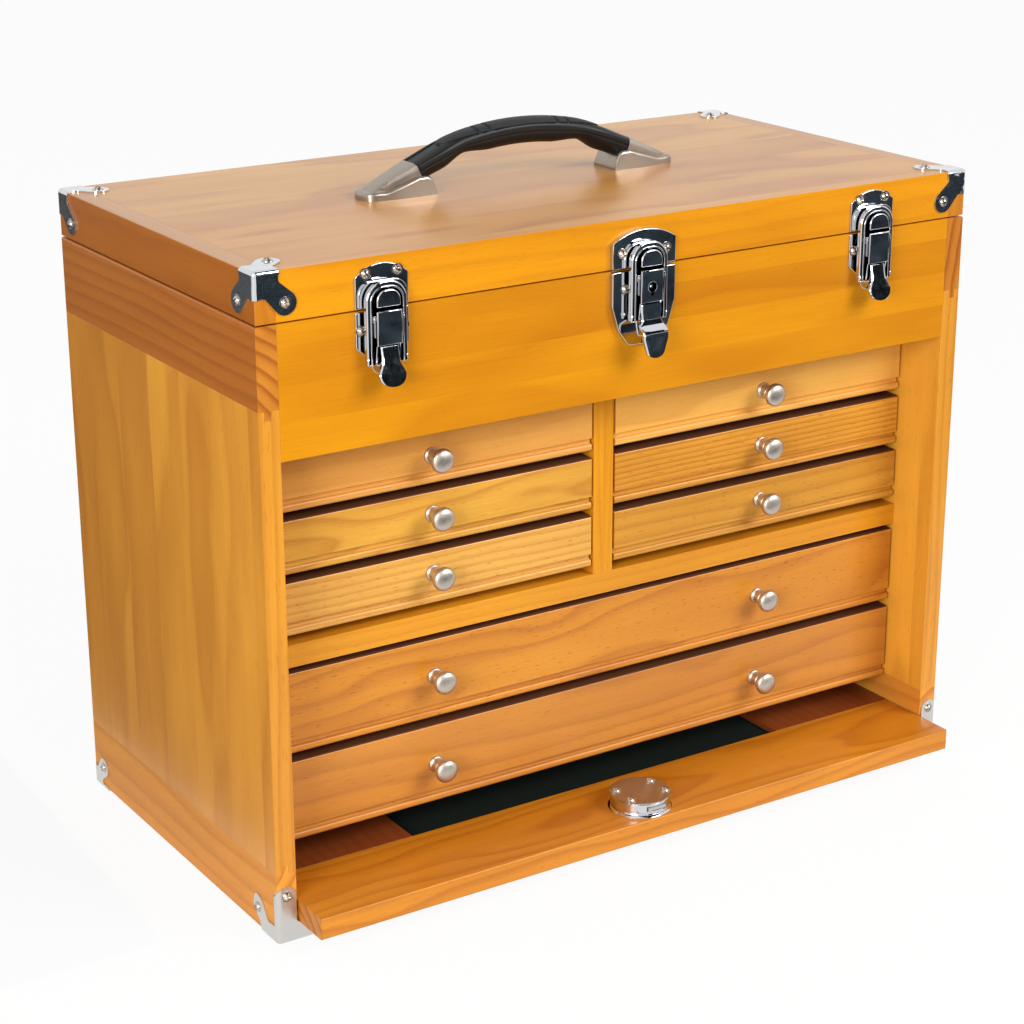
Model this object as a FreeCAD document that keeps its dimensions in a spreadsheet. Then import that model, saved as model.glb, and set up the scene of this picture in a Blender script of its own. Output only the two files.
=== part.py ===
import FreeCAD, Part
import math
import os
import re
from types import SimpleNamespace

# Machinist tool chest: a wooden case with a till under the lid, eight drawers, and a front
# panel that stows in a slot under the drawers. X is to the right, -Y is the front, Z is up,
# the floor is z = 0 and the origin is under the middle of the chest. All lengths are in mm.

os.makedirs("parts", exist_ok=True)
doc = FreeCAD.newDocument("ToolChest")
vec = FreeCAD.Vector

DRIVING = {
    # case boards
    "case_width": 510, "case_depth": 265, "case_top": 375, "case_bottom": 1, "overall_height": 405,
    "side_thick": 13, "header_thick": 13, "header_bottom": 296.6, "back_thick": 6, "till_thick": 6,
    "band_bottom": 327, "foot_top": 45, "tongue_inset": 3.8, "tongue_thick": 4.4,
    "tongue_depth": 5.5, "base_top": 12, "inner_recess": 36.5, "divider_thick": 14.5,
    "shelf_bottom": 156.4, "shelf_top": 170.6,
    # lid boards
    "lid_gap": 1, "lid_top_thick": 12, "rail_thick": 13,
    # drawers
    "small_height": 33.6, "wide_height": 52.2, "row_one": 252.2, "row_two": 214.1,
    "row_three": 176.0, "row_four": 100.9, "row_five": 43.9, "front_thick": 14, "front_gap": 1.5,
    "lip_height": 5, "groove_top": 8.3, "groove_depth": 2.5, "lip_radius": 2.4, "edge_radius": 1.5,
    "wall_thick": 9, "wall_gap": 2, "wall_inset_low": 2, "wall_inset_high": 3, "box_length": 200,
    "bottom_thick": 3, "bottom_rise": 3, "runner_reach": 6, "runner_tall": 8, "runner_clear": 0.5,
    # knobs and the screws that hold them
    "knob_offset": 124.3, "knob_one": 270.2, "knob_two": 233.8, "knob_three": 196.0,
    "knob_four": 128.7, "knob_five": 69.8, "knob_reach": 16.5, "knob_radius": 7.5,
    "neck_radius": 4, "foot_radius": 5.2, "foot_length": 1.5, "neck_length": 7,
    "rim_length": 2.5, "knob_fillet": 1, "foot_flare": 1.5, "knob_bore_depth": 9, "knob_bore": 2,
    "bore_clear": 0.1, "knob_screw": 1.95, "knob_screw_gap": 1, "knob_screw_head": 4,
    "knob_screw_cap": 2,
    # front panel and its lock
    "panel_reach": 29, "panel_length": 280, "panel_thick": 14, "panel_bottom": 12.5,
    "panel_side_gap": 0.5, "stile_width": 98, "front_rail_width": 62.6, "back_rail_width": 50,
    "infill_thick": 9, "felt_thick": 1.5, "lock_setback": 21.7, "flange_radius": 20.5,
    "flange_thick": 1.5, "can_radius": 19, "can_wall": 2, "can_height": 7.5, "cover_radius": 19.5,
    "cover_thick": 1, "barrel_radius": 9.5, "plug_radius": 6, "plug_clear": 0.05,
    "rail_bore": 10, "bolt_width": 13.6, "bolt_height": 2.6, "bolt_length": 20,
    "bolt_lift": 4.2, "bolt_clear": 0.3, "plug_top": 2.6, "keyway_width": 2.4, "keyway_depth": 3,
    "keyway_half": 4.2, "lock_edge": 0.7,
    "cover_screw_across": 13.3, "cover_screw_along": 8, "cover_screw_radius": 2.4,
    "cover_screw_cap": 1.2,
    # pressed corner guards
    "metal_thick": 1, "guard_square": 15.4, "guard_waist_across": 14.5, "guard_waist": 6,
    "guard_fillet": 3, "guard_lobe": 18.5, "guard_lobe_radius": 7, "strap_top": 36,
    "strap_width": 12, "strap_flare": 12.6, "strap_foot": 27, "strap_radius": 6.4,
    "strap_fillet": 2, "strap_screw_across": 6, "strap_screw": 29.8, "heel_square": 13.5,
    "heel_waist_across": 12, "heel_waist": 5, "heel_lobe": 15.2, "heel_lobe_radius": 6.5,
    "ankle_foot": 20, "ankle_heel": 21, "ankle_heel_height": 5, "ankle_reach": 30,
    "ankle_screw": 24, "ankle_height": 14, "ankle_crown": 27, "ankle_crown_height": 24,
    "ankle_brow": 19, "ankle_brow_height": 21, "ankle_notch": 11, "ankle_notch_height": 10,
    "ankle_fillet": 4, "ankle_round": 5, "toe_plate": 22, "toe_corner": 15.4,
    # screws
    "screw_head": 3.5, "screw_cap": 2, "screw_shank": 1.6, "screw_length": 5.5,
    "screw_point": 1, "screw_hole": 1.7,
    # latches: across is to either side of the latch's middle, out is away from the front face
    "latch_offset": 176.7, "side_plate": 1.2, "side_plate_half": 16.9, "side_shift": 0,
    "centre_plate": 3.6, "centre_plate_half": 22.7, "centre_shift": 2.4, "plate_top": 374.7,
    "plate_waist": 354, "side_plate_end": 337.5, "centre_plate_end": 329,
    "side_plate_foot": 9, "centre_plate_foot": 18, "side_plate_tip": 5.4,
    "centre_plate_tip": 10.8, "plate_foot_rise": 10, "plate_corner": 1, "plate_waist_round": 3,
    "plate_foot_round": 4, "plate_tip_round": 6, "plate_screw_across": 13.4, "plate_screw": 364,
    "strike_bottom": 376.5, "side_shoulder": 394.2, "side_strike_top": 401.2,
    "centre_shoulder": 392, "centre_strike_top": 398.8, "side_strike_screw": 396,
    "centre_strike_screw": 385.5, "side_screw_across": 10.2, "centre_screw_across": 15.8,
    "side_boss": 3.2, "boss_half": 15.5, "boss_top": 391.4, "boss_round": 6, "hook_half": 7.6,
    "hook_bottom": 377.5, "hook_top": 387.5, "hook_out": 9, "hook_round": 4.5,
    "hook_shoulder": 6.5, "hook_slope": 1,
    "pivot_height": 371, "pivot_out": 7, "pivot_radius": 1.5, "pivot_clear": 0.05,
    "pivot_half": 9.7, "ear_inner": 8.35, "ear_outer": 9.35, "ear_bottom": 361, "ear_top": 373.4,
    "ear_out": 9.2, "lever_half": 8, "lever_top": 375.7, "lever_step": 355.5, "sheet_thick": 1.2,
    "lever_out": 9.8, "neck_half": 5.5, "neck_height": 350, "ledge_out": 13, "ledge_height": 341.5,
    "tab_half": 8.6, "tab_out": 15, "tab_end": 333.5, "neck_fillet": 4, "ledge_fillet": 2,
    "ledge_drop": 1, "tab_round": 6, "tab_shoulder": 2, "tab_drop": 1.5, "cheek_in": 3.4,
    "cheek_drop": 1, "cheek_lean": 1.1, "cheek_bend": 6, "cheek_fillet": 3, "cheek_foot": 3.6,
    "cheek_foot_round": 1.6, "cheek_foot_height": 345.3,
    "loop_pivot_height": 347.75, "loop_pivot_out": 5.2, "stub_radius": 1.2, "stub_half": 12.6,
    "loop_hole": 1.25, "loop_half": 13, "loop_inner": 10, "loop_top": 392, "loop_inner_top": 388.3,
    "loop_foot": 344.5, "loop_in": 3.7, "loop_thick": 3.5, "loop_corner": 11,
    "loop_inner_corner": 8,
    # handle
    "handle_setback": 134, "handle_half": 12.5, "tip_half": 115.5, "tip_height": 3,
    "tip_round": 2, "tip_half_width": 9.4, "tip_corner": 8, "shoe_half": 66.5,
    "shoe_height": 6, "shoe_round": 5, "shoe_corner": 4, "ridge_half": 83.5,
    "ridge_height": 21, "ridge_rise": 1, "ridge_out": 3, "ridge_lean": 4, "ridge_round": 10,
    "ridge_corner": 6, "collar": 1, "grip_peak": 33.5, "arch_radius": 198,
    "arch_angle": 49.2, "grip_width": 18, "grip_height": 11.5,
    # hinges
    "hinge_offset": 165, "hinge_half": 25, "pin_back": 3.1, "knuckle_radius": 2.75,
    "pin_radius": 1.2, "pin_hole": 1.25, "leaf_thick": 1.2,
    "leaf_low": 352, "leaf_high": 391, "leaf_margin": 0.6, "knuckle_half": 8.2,
    "knuckle_gap": 0.3, "leaf_screw_across": 16, "leaf_screw_low": 361, "leaf_screw_high": 385.5,
}

sheet = doc.addObject("Spreadsheet::Sheet", "Sizes")
for row, (alias, number) in enumerate(DRIVING.items(), start=1):
    sheet.set(f"A{row}", alias)
    sheet.set(f"B{row}", str(number))
    sheet.setAlias(f"B{row}", alias)
doc.recompute()
size = SimpleNamespace(**{alias: float(sheet.get(alias)) for alias in DRIVING})

# Lengths that follow from the sheet, written as expressions so that the objects stay bound.
SAME_SPOT = 1e-4
SLIVER_VOLUME = 1
FRONT = "((panel_reach - case_depth - pin_back - knuckle_radius) / 2)"
BACK = f"({FRONT} + case_depth)"
HALF = "(case_width / 2)"
INNER = f"({HALF} - side_thick)"
LID_BOTTOM = "(case_top + lid_gap)"
PIN_Y = f"({BACK} + pin_back)"
PIN_Z = "(case_top + lid_gap / 2)"
PANEL_TOP = "(panel_bottom + panel_thick)"
LOCK_Y = f"({FRONT} - panel_reach + lock_setback)"
DRAWER_FACE = f"({FRONT} + inner_recess)"
DRAWER_BACK_FACE = f"({DRAWER_FACE} + front_thick)"


def sized(text):
    """The text with every name of the sheet turned into a reference to its cell."""
    return re.sub(r"[a-z_]+", lambda word: "Sizes." + word.group()
                  if word.group() in DRIVING else word.group(), str(text))


def bind(thing, prop, text):
    thing.setExpression(prop, sized(text))


def worth(text):
    """The number that a text of sheet names comes to."""
    return float(sheet.evalExpression(sized(text)))


def put(thing, x=None, y=None, z=None):
    for axis, text in (("x", x), ("y", y), ("z", z)):
        if text is not None:
            bind(thing, f"Placement.Base.{axis}", text)
    return thing


def board(label, x, y, z):
    """A straight board between two corners; each argument is a pair of texts, low and high."""
    box = doc.addObject("Part::Box", label)
    for edge, axis, (low, high) in (("Length", "x", x), ("Width", "y", y), ("Height", "z", z)):
        bind(box, edge, f"({high}) - ({low})")
        bind(box, f"Placement.Base.{axis}", low)
    return box


def rod(label, radius, length, x, y, z, along):
    """A cylinder from a start point along one axis."""
    turns = {"x": (vec(0, 1, 0), 90), "y": (vec(1, 0, 0), -90), "z": (vec(0, 0, 1), 0)}
    cylinder = doc.addObject("Part::Cylinder", label)
    bind(cylinder, "Radius", radius)
    bind(cylinder, "Height", length)
    cylinder.Placement.Rotation = FreeCAD.Rotation(*turns[along])
    return put(cylinder, x, y, z)


def group(label, things):
    compound = doc.addObject("Part::Compound", label)
    compound.Links = things
    return compound


def fused(label, things):
    fuse = doc.addObject("Part::MultiFuse", label)
    fuse.Shapes = things
    return fuse


def cut(label, base, tool):
    part_cut = doc.addObject("Part::Cut", label)
    part_cut.Base = base
    part_cut.Tool = tool
    return part_cut


def common(label, base, tool):
    shared = doc.addObject("Part::Common", label)
    shared.Base = base
    shared.Tool = tool
    return shared


def mirrored(label, thing, axis="x"):
    """The same piece on the other side: left to right, or front to back."""
    mirror = doc.addObject("Part::Mirroring", label)
    mirror.Source = thing
    mirror.Normal = vec(1, 0, 0) if axis == "x" else vec(0, 1, 0)
    if axis == "y":
        bind(mirror, "Base.y", f"{FRONT} + case_depth / 2")
    return mirror


def outline(points):
    """Edges of a closed outline. A point is (a, b), (a, b, radius) for a rounded corner, or
    ("through", a, b) where the edge between its neighbours is an arc through it."""
    corners = [p for p in points if p[0] != "through"]
    arcs = {}
    for index, point in enumerate(points):
        if point[0] == "through":
            before = len([p for p in points[:index] if p[0] != "through"]) - 1
            arcs[before] = vec(point[1], point[2], 0)
    count = len(corners)
    spots = [vec(p[0], p[1], 0) for p in corners]
    starts, ends, bends = [], [], []
    for index, corner in enumerate(corners):
        here = spots[index]
        radius = corner[2] if len(corner) > 2 else 0
        if radius:
            into = (here - spots[index - 1]).normalize()
            out = (spots[(index + 1) % count] - here).normalize()
            half_turn = into.getAngle(out) / 2
            back_off = radius * math.tan(half_turn)
            first = here - into * back_off
            last = here + out * back_off
            bulge = (out - into).normalize() * (radius / math.cos(half_turn) - radius)
            starts.append(first)
            ends.append(last)
            bends.append(Part.Arc(first, here + bulge, last))
        else:
            starts.append(here)
            ends.append(here)
            bends.append(None)
    edges = []
    for index in range(count):
        after = (index + 1) % count
        if bends[index]:
            edges.append(bends[index])
        if index in arcs:
            edges.append(Part.Arc(ends[index], arcs[index], starts[after]))
        elif ends[index].distanceToPoint(starts[after]) > SAME_SPOT:
            edges.append(Part.LineSegment(ends[index], starts[after]))
    return edges


def ring(across, up, radius):
    return Part.Circle(vec(across, up, 0), vec(0, 0, 1), radius)


def dome(radius, low, high):
    """The end of an outline on its axis: from the rim at (radius, low) over a cap of a ball."""
    rise = high - low
    ball = (radius ** 2 + rise ** 2) / (2 * rise)
    half_angle = math.asin(radius / ball) / 2
    middle = ("through", ball * math.sin(half_angle), high - ball + ball * math.cos(half_angle))
    return [(radius, low), middle, (0, high)]


def sketch(body, plane, edges):
    drawing = body.newObject("Sketcher::SketchObject", body.Label + "_sketch")
    origin_plane = [o for o in body.Origin.OriginFeatures if o.Role == plane + "_Plane"][0]
    drawing.AttachmentSupport = [(origin_plane, "")]
    drawing.MapMode = "FlatFace"
    for edge in edges:
        drawing.addGeometry(edge, False)
    return drawing


def pad(body, plane, edges, length, reverse=False, middle=False):
    feature = body.newObject("PartDesign::Pad", body.Label + "_pad")
    feature.Profile = sketch(body, plane, edges)
    bind(feature, "Length", length)
    feature.Reversed = reverse
    if middle:
        feature.SideType = "Symmetric"
    return feature


def plate(label, plane, edges, length, reverse=False, middle=False):
    """A body with one pad. XZ pads grow towards the front, YZ pads to the right, XY pads up."""
    body = doc.addObject("PartDesign::Body", label)
    pad(body, plane, edges, length, reverse, middle)
    return body


def turned(label, edges):
    """A body of revolution about its sketch's own upright axis, from a sketch on the XZ plane."""
    body = doc.addObject("PartDesign::Body", label)
    feature = body.newObject("PartDesign::Revolution", label + "_turn")
    profile = sketch(body, "XZ", edges)
    feature.Profile = profile
    feature.ReferenceAxis = (profile, ["V_Axis"])
    feature.Angle = 360
    return body


def copies(label, master, spots):
    """The same piece at many spots: (x, y, z) in mm, and the way that its +Z end faces."""
    shapes = []
    for (x, y, z), facing in spots:
        shape = master.Shape.copy()
        turn = FreeCAD.Rotation(vec(0, 0, 1), vec(*facing))
        shape.Placement = FreeCAD.Placement(vec(x, y, z), turn)
        shapes.append(shape)
    feature = doc.addObject("Part::Feature", label)
    feature.Shape = Part.makeCompound(shapes)
    return feature


# ---- case boards ------------------------------------------------------------------------------

def side_board(label, low, high, tongue_low, tongue_high):
    """A board of the left side. At its low and high edge: 1 is a tongue, -1 a groove, 0 plain."""
    near = size.tongue_inset
    far = size.tongue_inset + size.tongue_thick
    points = [(0, low)]
    if tongue_low:
        tip = low - tongue_low * size.tongue_depth
        points += [(near, low), (near, tip), (far, tip), (far, low)]
    points += [(size.side_thick, low), (size.side_thick, high)]
    if tongue_high:
        tip = high + tongue_high * size.tongue_depth
        points += [(far, high), (far, tip), (near, tip), (near, high)]
    points += [(0, high)]
    return put(plate(label, "XZ", outline(points), "case_depth"), f"-{HALF}", BACK)


band = side_board("top_band", size.band_bottom, size.case_top, 1, 0)
foot = side_board("bottom_band", size.case_bottom, size.foot_top, 0, 1)
planks = side_board("plank_panel", size.foot_top, size.band_bottom, -1, -1)
side_crossbands = group("side_crossbands", [band, foot, mirrored("top_band_right", band),
                                            mirrored("bottom_band_right", foot)])
side_planks = group("side_planks", [planks, mirrored("plank_panel_right", planks)])

inside_x = (f"-{INNER}", INNER)
header_board = board("header_board", inside_x, (FRONT, f"{FRONT} + header_thick"),
                     ("header_bottom", "case_top"))
back_panel = board("back_panel", inside_x, (f"{BACK} - back_thick", BACK),
                   ("case_bottom", "case_top"))
till_floor = board("till_floor", inside_x, (f"{FRONT} + header_thick", f"{BACK} - back_thick"),
                   ("header_bottom", "header_bottom + till_thick"))
base_board = board("base_board", inside_x, (FRONT, f"{BACK} - back_thick"),
                   ("case_bottom", "base_top"))
inner_y = (DRAWER_FACE, f"{BACK} - back_thick")
drawer_shelf = board("drawer_shelf", inside_x, inner_y, ("shelf_bottom", "shelf_top"))
centre_divider = board("centre_divider", ("-divider_thick / 2", "divider_thick / 2"), inner_y,
                       ("shelf_top", "header_bottom"))

# ---- drawers ----------------------------------------------------------------------------------

SMALL_SPAN = (f"-{INNER} + front_gap", "-divider_thick / 2 - front_gap")
WIDE_SPAN = (f"-{INNER} + front_gap", f"{INNER} - front_gap")
ROWS = [("upper", "row_one", "small_height", "knob_one"),
        ("middle", "row_two", "small_height", "knob_two"),
        ("lower", "row_three", "small_height", "knob_three")]
WIDE_ROWS = [("wide_upper", "row_four", "wide_height", "knob_four"),
             ("wide_lower", "row_five", "wide_height", "knob_five")]


def front_board(label, span, bottom, height):
    """A drawer front: a flat face over a groove and a rounded lip, run along X."""
    deep = size.front_thick
    tall = getattr(size, height)
    points = [(0, 0, size.lip_radius), (deep, 0), (deep, tall), (0, tall, size.edge_radius),
              (0, size.groove_top), (size.groove_depth, size.groove_top),
              (size.groove_depth, size.lip_height), (0, size.lip_height, size.edge_radius)]
    body = plate(label, "YZ", outline(points), f"({span[1]}) - ({span[0]})")
    return put(body, span[0], DRAWER_FACE, bottom)


def drawer_box(label, span, bottom, height):
    """The tray behind a front: two grooved walls, a back and a thin bottom between them."""
    low = worth(f"{bottom} + wall_inset_low")
    high = worth(f"{bottom} + {height} - wall_inset_high")
    middle = worth(f"{bottom} + {height} / 2")
    slot = worth("runner_tall / 2 + runner_clear")
    inset = worth("runner_reach - wall_gap + runner_clear")
    wall = size.wall_thick
    points = [(0, low), (wall, low), (wall, high), (0, high), (0, middle + slot),
              (inset, middle + slot), (inset, middle - slot), (0, middle - slot)]
    left = plate(label + "_wall", "XZ", outline(points), "box_length")
    put(left, span[0], f"{DRAWER_BACK_FACE} + box_length")
    right = plate(label + "_wall_right", "XZ", outline([(-p[0], p[1]) for p in points]), "box_length")
    put(right, span[1], f"{DRAWER_BACK_FACE} + box_length")
    inside = (f"{span[0]} + wall_thick", f"{span[1]} - wall_thick")
    back = board(label + "_back", inside,
                 (f"{DRAWER_BACK_FACE} + box_length - wall_thick", f"{DRAWER_BACK_FACE} + box_length"),
                 (f"{bottom} + wall_inset_low", f"{bottom} + {height} - wall_inset_high"))
    floor = board(label + "_floor", inside,
                  (DRAWER_BACK_FACE, f"{DRAWER_BACK_FACE} + box_length - wall_thick"),
                  (f"{bottom} + wall_inset_low + bottom_rise",
                   f"{bottom} + wall_inset_low + bottom_rise + bottom_thick"))
    return group(label, [left, right, back, floor])


def knob_outline():
    """Half of a turned mushroom knob on its screw's axis, foot at 0 and head at knob_reach."""
    head_low = size.knob_reach - 2 * size.rim_length
    flare_top = size.foot_length + size.foot_flare
    return outline([(size.knob_bore, 0), (size.foot_radius, 0), (size.foot_radius, size.foot_length),
                    (size.neck_radius, flare_top, size.knob_fillet),
                    (size.neck_radius, size.neck_length),
                    (size.knob_radius, head_low, size.knob_fillet),
                    *dome(size.knob_radius, size.knob_reach - size.rim_length, size.knob_reach),
                    (0, size.knob_bore_depth), (size.knob_bore, size.knob_bore_depth)])


knob_master = turned("knob_master", knob_outline())
under_head = worth("front_thick + knob_bore_depth - knob_screw_gap")
knob_screw_master = turned("knob_screw_master", outline([
    (0, 0), (size.knob_screw, 0), (size.knob_screw, under_head),
    *dome(size.knob_screw_head, under_head, under_head + size.knob_screw_cap)]))
doc.recompute()


def knob_group(label, places, height):
    """The knobs of one drawer, each with the screw that holds it from inside the drawer."""
    face = worth(DRAWER_FACE)
    knobs = copies(label + "_turned", knob_master,
                   [((x, face, height), (0, -1, 0)) for x in places])
    tip = face - size.knob_bore_depth + size.knob_screw_gap
    screws = copies(label + "_screws", knob_screw_master,
                    [((x, tip, height), (0, 1, 0)) for x in places])
    return group(label, [knobs, screws])


def drawer(name, span, row, height, knob_row, places):
    """One drawer: its front board bored for the knob screws, its box, and its knobs."""
    plain = front_board(name + "_front_plain", span, row, height)
    bores = [rod(f"{name}_bore_{index}", "knob_bore + bore_clear", "front_thick * 2", str(x),
                 f"{DRAWER_FACE} - front_thick / 2", knob_row, "y") for index, x in enumerate(places)]
    front = cut(name + "_front", plain, bores[0] if len(bores) == 1 else group(name + "_bores", bores))
    box_span = [f"{span[0]} + wall_gap - front_gap", f"{span[1]} - wall_gap + front_gap"]
    box = drawer_box(name + "_box", box_span, row, height)
    knobs = knob_group(name + ("_knob" if len(places) == 1 else "_knobs"), places, worth(knob_row))
    return [front, box, knobs]


def other_side(span):
    return (f"-({span[1]})", f"-({span[0]})")


drawers = []
for name, row, height, knob_row in ROWS:
    drawers += drawer(f"left_{name}_drawer", SMALL_SPAN, row, height, knob_row, [-size.knob_offset])
    drawers += drawer(f"right_{name}_drawer", other_side(SMALL_SPAN), row, height, knob_row,
                      [size.knob_offset])
for name, row, height, knob_row in WIDE_ROWS:
    drawers += drawer(f"{name}_drawer", WIDE_SPAN, row, height, knob_row,
                      [-size.knob_offset, size.knob_offset])


def runner(label, start, row, height):
    """A strip that a drawer's groove slides on."""
    return board(label, (start, f"({start}) + runner_reach"),
                 (f"{DRAWER_BACK_FACE} + 2 * runner_clear", f"{BACK} - back_thick"),
                 (f"{row} + {height} / 2 - runner_tall / 2", f"{row} + {height} / 2 + runner_tall / 2"))


runners = []
for name, row, height, _ in ROWS + WIDE_ROWS:
    starts = [f"-{INNER}", f"{INNER} - runner_reach"]
    if height == "small_height":
        starts += ["-divider_thick / 2 - runner_reach", "divider_thick / 2"]
    runners += [runner(f"{name}_runner_{index}", start, row, height) for index, start in enumerate(starts)]
drawer_runners = group("drawer_runners", runners)

# ---- front panel ------------------------------------------------------------------------------

PANEL_X = (f"-{INNER} + panel_side_gap", f"{INNER} - panel_side_gap")
PANEL_FRONT = f"({FRONT} - panel_reach)"
RAIL_BACK = f"({PANEL_FRONT} + front_rail_width)"
TAIL_FRONT = f"({PANEL_FRONT} + panel_length - back_rail_width)"
STILE_IN = f"({INNER} - panel_side_gap - stile_width)"
panel_z = ("panel_bottom", PANEL_TOP)

rail_blank = board("panel_front_rail", PANEL_X, (PANEL_FRONT, RAIL_BACK), panel_z)
lock_bore = rod("lock_bore", "rail_bore", "panel_thick * 2", "0", LOCK_Y,
                "panel_bottom - panel_thick / 2", "z")
front_rail = cut("bored_rail", rail_blank, lock_bore)
tail_rail = board("panel_back_rail", PANEL_X, (TAIL_FRONT, f"{PANEL_FRONT} + panel_length"), panel_z)
left_stile = board("panel_left_stile", (PANEL_X[0], f"-{STILE_IN}"), (RAIL_BACK, TAIL_FRONT), panel_z)
right_stile = board("panel_right_stile", (STILE_IN, PANEL_X[1]), (RAIL_BACK, TAIL_FRONT), panel_z)
panel_frame = group("panel_frame", [front_rail, tail_rail, left_stile, right_stile])
field_x = (f"-{STILE_IN}", STILE_IN)
panel_infill = board("panel_infill", field_x, (RAIL_BACK, TAIL_FRONT),
                     ("panel_bottom", "panel_bottom + infill_thick"))
panel_felt = board("panel_felt", field_x, (RAIL_BACK, TAIL_FRONT),
                   ("panel_bottom + infill_thick", "panel_bottom + infill_thick + felt_thick"))

# The lock: a barrel through the rail, a round can above it, and a bolt in a slot of the can.
barrel = size.barrel_radius
bore = worth("plug_radius")
floor_level = worth("panel_thick")
flange_top = worth("panel_thick + flange_thick")
can_top = worth("panel_thick + flange_thick + can_height")
lock_shell = turned("lock_shell", outline([
    (bore, 0), (barrel, 0), (barrel, floor_level), (size.flange_radius, floor_level),
    (size.flange_radius, flange_top, size.lock_edge), (size.can_radius, flange_top),
    (size.can_radius, can_top),
    (size.can_radius - size.can_wall, can_top), (size.can_radius - size.can_wall, flange_top),
    (bore, flange_top)]))
put(lock_shell, None, LOCK_Y, "panel_bottom")
BOLT_LOW = f"({PANEL_TOP} + bolt_lift)"
bolt_slot = board("bolt_slot", ("-bolt_width / 2 - bolt_clear", "bolt_width / 2 + bolt_clear"),
                  (f"{LOCK_Y} - flange_radius", LOCK_Y),
                  (f"{BOLT_LOW} - bolt_clear", f"{BOLT_LOW} + bolt_height + bolt_clear"))
lock_body = cut("lock_body", lock_shell, bolt_slot)
lock_disc = put(turned("lock_disc", outline([(0, 0), (size.cover_radius, 0),
                                             (size.cover_radius, size.cover_thick, size.lock_edge),
                                             (0, size.cover_thick)])),
                None, LOCK_Y, f"{PANEL_TOP} + flange_thick + can_height")
cover_screw = turned("cover_screw_master", outline([
    (0, 0), *dome(size.cover_screw_radius, 0, size.cover_screw_cap)]))
doc.recompute()
cover_level = worth(f"{PANEL_TOP} + flange_thick + can_height + cover_thick")
cover_spots = [(across * size.cover_screw_across, worth(LOCK_Y) + along * size.cover_screw_along)
               for across in (-1, 1) for along in (-1, 1)]
cover_screws = copies("cover_screws", cover_screw,
                      [((x, y, cover_level), (0, 0, 1)) for x, y in cover_spots])
lock_cover = group("lock_cover", [lock_disc, cover_screws])
lock_bolt = board("lock_bolt", ("-bolt_width / 2", "bolt_width / 2"),
                  (f"{LOCK_Y} - can_radius", f"{LOCK_Y} - can_radius + bolt_length"),
                  (BOLT_LOW, f"{BOLT_LOW} + bolt_height"))
plug_body = rod("plug_body", "plug_radius - plug_clear", "panel_thick + plug_top", "0", LOCK_Y,
                "panel_bottom", "z")
keyway = board("keyway", ("-keyway_width / 2", "keyway_width / 2"),
               (f"{LOCK_Y} - keyway_half", f"{LOCK_Y} + keyway_half"),
               ("panel_bottom - keyway_depth", "panel_bottom + keyway_depth"))
lock_plug = cut("lock_plug", plug_body, keyway)

# ---- screws -----------------------------------------------------------------------------------

screw_master = turned("screw_master", outline([
    (0, -size.screw_length), (size.screw_shank, size.screw_point - size.screw_length),
    (size.screw_shank, 0),
    *dome(size.screw_head, 0, size.screw_cap)]))
doc.recompute()

front_y = worth(FRONT)
back_y = worth(BACK)
mid_y = (front_y + back_y) / 2
half_x = worth(HALF)


def around(spots, back_too=True):
    """The spots of one front left corner, repeated at the other corners."""
    every = []
    for (x, y, z), (i, j, k) in spots:
        every += [((x, y, z), (i, j, k)), ((-x, y, z), (-i, j, k))]
        if back_too:
            behind = 2 * mid_y - y
            every += [((x, behind, z), (i, -j, k)), ((-x, behind, z), (-i, -j, k))]
    return every


# ---- corner guards ----------------------------------------------------------------------------

skin = size.metal_thick


def lobed(square, across, waist, lobe, radius):
    """A guard's face: a square at the corner and a round lobe on its diagonal."""
    slant = radius / math.sqrt(2)
    return [(-skin, -skin), (square, -skin), (across, waist, size.guard_fillet),
            (lobe + slant, lobe - slant), ("through", lobe + slant, lobe + slant),
            (lobe - slant, lobe + slant), (waist, across, size.guard_fillet), (-skin, square)]


def flipped(point, tall):
    """A point of an outline, turned upside down where tall is -1."""
    if point[0] == "through":
        return ("through", point[1], tall * point[2])
    return (point[0], tall * point[1], *point[2:])


def guard(label, faces, x, y, z, top):
    """A guard on the front left corner. Each face is an outline and its screw hole's centre,
    measured inwards from the wood's corner; top guards hang down, bottom guards stand up."""
    body = doc.addObject("PartDesign::Body", label)
    flip = -1 if top else 1
    for plane, (points, hole) in faces.items():
        tall = 1 if plane == "XY" else flip
        edges = outline([flipped(point, tall) for point in points])
        if hole:
            edges.append(ring(hole[0], tall * hole[1], size.screw_hole))
        reverse = plane == "YZ" or (plane == "XY" and not top)
        pad(body, plane, edges, "metal_thick", reverse)
        doc.recompute()
    return put(body, x, y, z)


lobe_spot = (size.guard_lobe, size.guard_lobe)
top_face = (lobed(size.guard_square, size.guard_waist_across, size.guard_waist, size.guard_lobe,
                  size.guard_lobe_radius), lobe_spot)
top_guard = guard("top_guard", {"XY": top_face, "XZ": top_face, "YZ": top_face},
                  f"-{HALF}", FRONT, "overall_height", True)
top_guard_right = mirrored("top_guard_right", top_guard)
top_corner_guards = group("top_corner_guards", [
    top_guard, top_guard_right, mirrored("top_guard_back", top_guard, "y"),
    mirrored("top_guard_back_right", top_guard_right, "y")])

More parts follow.
